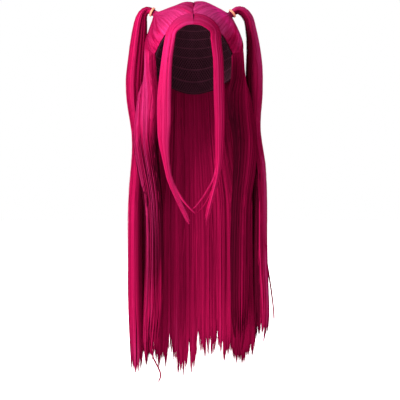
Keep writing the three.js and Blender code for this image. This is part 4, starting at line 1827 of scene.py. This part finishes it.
@dataclass
class BackHair(WigPiece):
    """One face of the long hair that hangs from the back of the cap to a ragged hem."""

    face: Face = Face.OUTER
    tones: Tones = ((0.0, 0.6),)
    valleys: Valleys = ((11, 1.7), (29, 0.8))
    # Painted light towards the tips.
    tip_painted_light: float = 0.16
    tip_run: Pair = (0.80, 1.0)
    wisp_longer: float = 0.012
    wisp_pinch: float = 0.3
    growth: Growth = Growth(
        strands=1100, points=19, width=2.0, depth=2.6, groove=0.4, feather=0.035, root_width=0.6,
        early=0.35, sway=1.1, first=(0.0, 0.02), thins_from=0.90, relief_by=0.04,
    )
    wisp: Growth = Growth(
        strands=130, points=9, width=0.9, depth=1.5, groove=0.0, feather=0.012, root_width=0.5, sway=1.8,
        first=(0.80, 0.90), thins_from=0.35,
    )
    core: Core = Core(
        60, 40, along=(0.03, 0.84), sink=3.8, wall=1.0, tones=(0.08, 0.12), across=(-0.97, 0.97),
        closed=False,
    )

    # Middle, half width and lowest level of each lock of the hem.
    HEM = (
        (-95, 7, -686), (-88, 6, -664), (-77, 7, -680), (-67, 8, -694), (-57, 7, -690), (-46, 6, -668),
        (-32, 8, -708), (-20, 8, -712), (-7, 8, -704), (6, 8, -676), (20, 9, -672), (36, 8, -672),
        (47, 7, -650), (60, 8, -680), (72, 7, -662), (83, 7, -686), (94, 7, -688), (104, 6, -676),
        (112, 6, -668),
    )

    # Place in its lock of each of the thinner locks that it ends in and how far each stops short, and the
    # width of these as a share of the lock's.
    ENDS = ((-0.62, 26), (0.05, 0), (0.66, 16))
    END_SHARE = 0.48

    # Spread of the ends' places and of their tones and leans, and limits of what differs between them.
    PLACE_SPREAD = 0.15
    LOCK_TONE_SPREAD = 0.05
    END_TONE_SPREAD = 0.03
    LEAN_SPREAD = 0.012
    LOWER = 8
    SHORTER = (0.2, 1.3)
    UNEVEN = (-2, 6)
    SPLITS = (0.78, 0.88)
    PINCHES = (0.6, 0.9)

    def hem_locks(self, sheet: Sheet) -> list[Lock]:
        """Locks from the hem, the same on both faces but for their tone.

        Args:
            sheet: Face that they lie on.

        Returns:
            The locks.
        """
        made = []
        rng = random_for("hem")
        places, shades = np.array(self.tones).T
        for x, half, level in self.HEM:
            tone = float(np.interp(x, places, shades)) + rng.normal(0, self.LOCK_TONE_SPREAD)
            for place, short in self.ENDS:
                middle = x + half * (place + rng.normal(0, self.PLACE_SPREAD))
                low = sheet.across_share(middle - half * self.END_SHARE)
                high = sheet.across_share(middle + half * self.END_SHARE)
                lowest = level - self.LOWER + short * rng.uniform(*self.SHORTER) + rng.uniform(*self.UNEVEN)
                made.append(Lock(
                    centre=(low + high) / 2,
                    half=(high - low) / 2,
                    tip=sheet.level_share(lowest),
                    tone=tone + rng.normal(0, self.END_TONE_SPREAD),
                    lean=rng.normal(0, self.LEAN_SPREAD),
                    split=rng.uniform(*self.SPLITS),
                    pinch=rng.uniform(*self.PINCHES),
                ))
        return made

    def shape(self, parts: MeshParts) -> None:
        """Puts the strands and, on the outer face, the layer behind them into parts.

        Args:
            parts: Parts of this piece.
        """
        rng = self.random()
        sheet = Sheet(self.face)
        relief = Relief(rng, self.valleys, span=2.0)
        locks = self.hem_locks(sheet)
        strands = self.growth.grow(sheet, locks, rng, relief)
        # Painted light at the tips.
        strands.tint(self.tip_painted_light, self.tip_run)
        parts.add_strands(strands)
        loose = [replace(lock, tip=lock.tip + self.wisp_longer, pinch=self.wisp_pinch) for lock in locks]
        parts.add_strands(self.wisp.grow(sheet, loose, rng))
        if self.face is Face.OUTER:
            self.core.add(parts, sheet, relief)


# x, y, z, width and thickness down each tail.
TAIL_TABLES = {
    Side.LEFT: [
        (-91, 24.3, -7.5, 15.5, 16),
        (-98, 26, -17, 20, 20),
        (-101, 28, -33, 26, 23),
        (-104.5, 32, -63, 31, 26),
        (-109, 38, -101, 33, 28),
        (-112.5, 44, -137, 35, 29),
        (-112.5, 50, -175, 32, 29),
        (-109, 56, -212, 28, 28),
        (-105, 62, -250, 27, 26),
        (-108, 68, -300, 27, 25),
        (-114, 73.5, -366, 27, 30),
        (-114.5, 74.5, -462, 28, 31),
        (-114, 74, -559, 29, 29),
        (-112, 73, -636, 27, 23),
        (-112, 73, -672, 24, 18),
        (-113, 73, -703, 20, 13),
    ],
    Side.RIGHT: [
        (83, 24, -6, 15, 15),
        (93, 26, -9.5, 18, 18),
        (102, 28, -21, 19, 20),
        (106, 30, -36, 20, 22),
        (111, 34, -66, 24, 25),
        (113.5, 38, -100, 30, 28),
        (114, 43, -130, 33, 29),
        (114.5, 50, -175, 31, 29),
        (113, 56, -212, 27, 28),
        (115.5, 62, -250, 27, 26),
        (124, 68, -300, 28, 25),
        (127, 73.5, -366, 28, 30),
        (126.5, 74.5, -462, 28, 31),
        (130.5, 74, -550, 30, 29),
        (131.5, 73, -596, 29, 22),
        (130.5, 73, -622, 25, 15),
        (128.5, 73, -648, 15, 8),
    ],
}

# x, y, z, width, thickness and turn of the broad side down each front lock, where it hangs.
LOCK_TABLES = {
    Side.LEFT: [
        (-43, -81, -73, 21, 8, 24),
        (-48, -83, -107, 21, 9, 20),
        (-51, -83, -143, 24, 9.5, 18),
        (-53, -82, -179, 27, 10, 16),
        (-53, -80, -215, 27, 10, 14),
        (-53.5, -79, -251, 22, 9.5, 12),
        (-49.5, -79, -287, 13.5, 9, 10),
        (-42.5, -82, -323, 10.5, 7.5, 8),
        (-27, -88, -359, 9.5, 6, 5),
        (-14, -93, -387, 8, 4.5, 2),
        (-7, -94, -403, 6, 3.5, 0),
    ],
    Side.RIGHT: [
        (40, -82, -73, 20, 8, 22),
        (44, -83, -107, 19, 9, 18),
        (45, -83, -143, 19.5, 9.5, 16),
        (46, -82, -179, 20, 9.5, 14),
        (47, -80, -215, 18.5, 9.5, 12),
        (46.5, -79, -251, 17, 9, 10),
        (45.4, -79, -287, 14, 8.5, 8),
        (42, -81, -316, 10, 7.5, 6),
        (36, -86, -341, 9, 6, 4),
        (26.5, -92, -378, 8.5, 5, 2),
        (21, -94, -405, 6.5, 3.5, 0),
    ],
}

# The same for the thin ends that part from each front lock.
WISP_TABLES = {
    Side.LEFT: [
        [
            (-48, -79, -287, 6, 5, 8),
            (-39.5, -83, -323, 5.5, 4, 5),
            (-22, -89, -355, 4.5, 3, 2),
            (-6, -94, -374, 3, 2, 0),
            (4, -96, -383, 1.2, 1, 0),
        ],
    ],
    Side.RIGHT: [
        [
            (43, -79, -287, 6, 5, 8),
            (37, -82, -318, 5.5, 4, 5),
            (22, -88, -346, 4.5, 3, 2),
            (7, -93, -366, 3, 2, 0),
            (-4, -95, -376, 1.2, 1, 0),
        ],
        [
            (44, -80, -300, 4, 4, 8),
            (37, -84, -330, 3.5, 3, 5),
            (24, -89, -360, 2.5, 2, 2),
            (10, -93, -378, 1.8, 1.2, 0),
            (-2, -95, -384, 0.8, 0.8, 0),
        ],
    ],
}

# x, y, z, width, thickness, turn of the broad side and bow down the loose hair of each side.
SIDE_TABLES = {
    Side.LEFT: [
        (-88.5, 0, -70, 52, 3, 88, 9),
        (-88.5, -2, -84, 74, 8, 88, 14),
        (-86.5, -2, -96, 82, 12.5, 88, 15.5),
        (-85.5, -1.5, -107, 84, 14, 88, 15),
        (-86.5, 1, -135, 78, 14, 76, 10),
        (-87.5, 5.5, -165, 67, 14, 52, 6),
        (-90, 19.5, -205, 54, 17, 32, 4),
        (-93, 33.5, -250, 50, 17.5, 20, 3),
        (-88, 44.5, -300, 44, 16.5, 12, 2),
        (-79, 52, -366, 36, 12, 8, 1),
        (-77, 58, -460, 36, 12, 5, 1),
        (-79, 60, -560, 37, 10, 5, 1),
        (-85, 61, -638, 32, 8, 5, 0),
        (-89, 61, -686, 18, 5, 5, 0),
    ],
    Side.RIGHT: [
        (88.5, 0, -70, 52, 3, 88, 9),
        (88.5, -2, -84, 74, 8, 88, 14),
        (87, -2, -96, 82, 13, 88, 15.5),
        (86.5, -1.5, -107, 84, 15, 88, 15),
        (88, 1, -135, 78, 15, 76, 10),
        (88.5, 5.5, -165, 67, 14, 52, 6),
        (92, 19.5, -205, 54, 17, 32, 4),
        (98, 33.5, -250, 50, 17.5, 20, 3),
        (97, 44.5, -300, 44, 16.5, 12, 2),
        (91, 52, -366, 38, 12, 8, 1),
        (89, 58, -460, 38, 12, 5, 1),
        (88, 60, -560, 36, 10, 5, 1),
        (88, 61, -628, 24, 7, 5, 0),
        (88, 61, -660, 7, 3, 5, 0),
    ],
}

# Places round each tail and the tone of its hair there, its folds, and points along its stray hairs.
# The darker tones round each tail are painted shade on its shaded side.
TAIL_TONES_AND_SHADE = {
    Side.LEFT: ((0.0, 0.50), (0.14, 0.52), (0.25, 0.66), (0.50, 0.72), (0.75, 0.62)),
    Side.RIGHT: ((0.0, 0.92), (0.17, 0.89), (0.25, 0.64), (0.33, 0.36), (0.50, 0.28), (0.75, 0.62)),
}
TAIL_FOLDS = {
    Side.LEFT: (Fold(0.235, -0.20, 4.0, last=0.62),),
    Side.RIGHT: (Fold(0.28, 0.22, 4.0, last=0.46),),
}
TAIL_STRAYS = {
    Side.LEFT: (),
    Side.RIGHT: ([(138, 73, -470), (144, 73, -505), (150, 73, -545), (154, 73, -580), (155, 73, -606)],),
}

# Places round the loose hair of each side and its tone there, and points along its stray hairs.
# The darker tones of the loose hair are painted shade.
SIDE_TONES_AND_SHADE = {
    Side.LEFT: ((0.0, 0.34), (0.10, 0.48), (0.20, 0.82), (0.50, 0.73), (0.75, 0.34)),
    Side.RIGHT: ((0.0, 0.60), (0.25, 0.54), (0.36, 0.30), (0.50, 0.16), (0.75, 0.22)),
}
SIDE_STRAYS = {
    Side.LEFT: ([
        (-84, 58, -610), (-81, 60, -660), (-75, 60, -677),
        (-67, 60, -693), (-65, 60, -706), (-71, 60, -719),
    ],),
    Side.RIGHT: (),
}

# Places from left to right on each face of the back hair, in millimetres at its hem, and the tone there.
# The dark bands in the tone of the inner face are painted shade.
BACK_TONES_AND_SHADE = {
    Face.OUTER: ((-110, 0.62), (0, 0.64), (120, 0.60)),
    Face.INNER: (
        (-105, 0.40), (-92, 0.26), (-75, 0.40), (-40, 0.53), (0, 0.54), (50, 0.55), (80, 0.32), (100, 0.30),
    ),
}


@dataclass
class Studio:
    """Pale floor, soft light and the camera."""

    floor_level: float = -738.0
    floor_half: float = 6000.0
    camera_at: Place = (11.3, -2244.4, -275.5)
    camera_pitch: float = 2.205
    lens: float = 108.06
    sensor: float = 36.0
    clip: Pair = (0.05, 50.0)
    key_at: Place = (-2.5, -1.9, 1.1)
    key_size: float = 1.4
    key_power: float = 430.0
    back_at: Place = (1.9, 2.4, 1.2)
    back_size: float = 2.2
    back_power: float = 110.0
    aim: Place = (0.0, 0.0, -0.28)
    world_strength: float = 1.0

    def build(self) -> None:
        """Makes the floor, lights and camera."""
        self.make_floor()
        self.make_lights()
        self.make_camera()

    def make_floor(self) -> None:
        """Makes the floor below the hair."""
        size = self.floor_half * MM
        level = self.floor_level * MM
        mesh = bpy.data.meshes.new("floor")
        corners = [(-size, -size, level), (size, -size, level), (size, size, level), (-size, size, level)]
        mesh.from_pydata(corners, [], [(0, 1, 2, 3)])
        mesh.materials.append(FloorFinish().material())
        floor = add_object("floor", mesh)

    def add_area(self, name: str, at: Place, size: float, power: float) -> None:
        """Adds a soft square light that shines at the wig.

        Args:
            name: Name of the light.
            at: Its place in metres.
            size: Length of its side in metres.
            power: Its power in watts.
        """
        light = bpy.data.lights.new(name, "AREA")
        light.size = size
        light.energy = power
        holder = add_object(name, light)
        holder.location = at
        holder.rotation_euler = (Vector(self.aim) - Vector(at)).to_track_quat("-Z", "Y").to_euler()

    def make_lights(self) -> None:
        """Makes a white surround, a large key light from the upper left and a softer one from behind."""
        world = bpy.data.worlds.new("studio")
        world.use_nodes = True
        background = world.node_tree.nodes["Background"]
        background.inputs["Color"].default_value = (1.0, 1.0, 1.0, 1.0)
        background.inputs["Strength"].default_value = self.world_strength
        bpy.context.scene.world = world
        self.add_area("key", self.key_at, self.key_size, self.key_power)
        self.add_area("back", self.back_at, self.back_size, self.back_power)
        bpy.context.scene.view_settings.view_transform = "Standard"

    def make_camera(self) -> None:
        """Makes the camera at the height of the hair, a little to the right and tipped down."""
        camera = bpy.data.cameras.new("camera")
        camera.lens = self.lens
        camera.sensor_width = self.sensor
        camera.sensor_fit = "HORIZONTAL"
        camera.clip_start, camera.clip_end = self.clip
        holder = add_object("camera", camera)
        holder.location = Vector(self.camera_at) * MM
        holder.rotation_euler = (math.radians(90 - self.camera_pitch), 0.0, 0.0)
        bpy.context.scene.camera = holder


def write_size() -> None:
    """Brings the view layer up to date."""
    bpy.context.view_layer.update()


PEACH_ELASTIC = BandFinish(
    "peach_elastic", high=(0.56, 0.21, 0.12), low=(0.40, 0.11, 0.07), ribs=(6.0, 150.0), rough=0.55,
    spec=0.25,
)
PLUM_BINDING = BandFinish(
    "plum_binding", high=(0.016, 0.003, 0.007), low=(0.006, 0.0015, 0.003), ribs=(3.0, 300.0), rough=0.8,
    spec=0.05,
)


def main() -> None:
    """Builds the wig piece by piece, then the studio."""
    logging.basicConfig(level=logging.INFO, format="%(name)s %(message)s")
    fibre = HairFinish().material()
    net = NetFinish().material()
    elastic = PEACH_ELASTIC.material()
    binding = PLUM_BINDING.material()
    NetCap("net_cap", "wig_cap").build(net)
    CapBinding("cap_binding", "wig_cap").build(binding)
    for side in Side:
        word = side.name.lower()
        left = side is Side.LEFT
        # Differences in tone between the sides below are painted light and shade.
        Crown(
            f"crown_hair_{word}",
            f"crown_{word}",
            side=side,
            low_painted_shade=0.06 if left else 0.24,
            painted_light=0.0 if left else 0.10,
        ).build(fibre)
        HairTie(f"elastic_tie_{word}", f"hair_tie_{word}", side=side).build(elastic)
        Ponytail(
            f"tail_hair_{word}",
            f"ponytail_{word}",
            side=side,
            table=TAIL_TABLES[side],
            tones=TAIL_TONES_AND_SHADE[side],
            folds=TAIL_FOLDS[side],
            strays=TAIL_STRAYS[side],
            low_painted_shade=0.05 if left else 0.30,
            tip_painted_light=0.20 if left else 0.08,
        ).build(fibre)
        FrontLock(
            f"lock_hair_{word}",
            f"front_lock_{word}",
            side=side,
            table=LOCK_TABLES[side],
            wisps=WISP_TABLES[side],
            tones=((0.0, 0.72 if left else 0.66),),
        ).build(fibre)
        SideHair(
            f"loose_hair_{word}",
            f"side_hair_{word}",
            side=side,
            table=SIDE_TABLES[side],
            tones=SIDE_TONES_AND_SHADE[side],
            strays=SIDE_STRAYS[side],
            root_tone=0.70 if left else 0.58,
            root_run=(0.02, 0.16) if left else (0.08, 0.36),
            low_painted_shade=0.72 if left else 0.22,
            low_run=(0.50, 0.68) if left else (0.38, 0.56),
            tip_painted_light=0.56 if left else 0.10,
        ).build(fibre)
    for face in Face:
        word = face.name.lower()
        BackHair(f"back_hair_{word}", "back_hair", face=face, tones=BACK_TONES_AND_SHADE[face]).build(fibre)
    Studio().build()
    write_size()


if __name__ == "__main__":
    main()
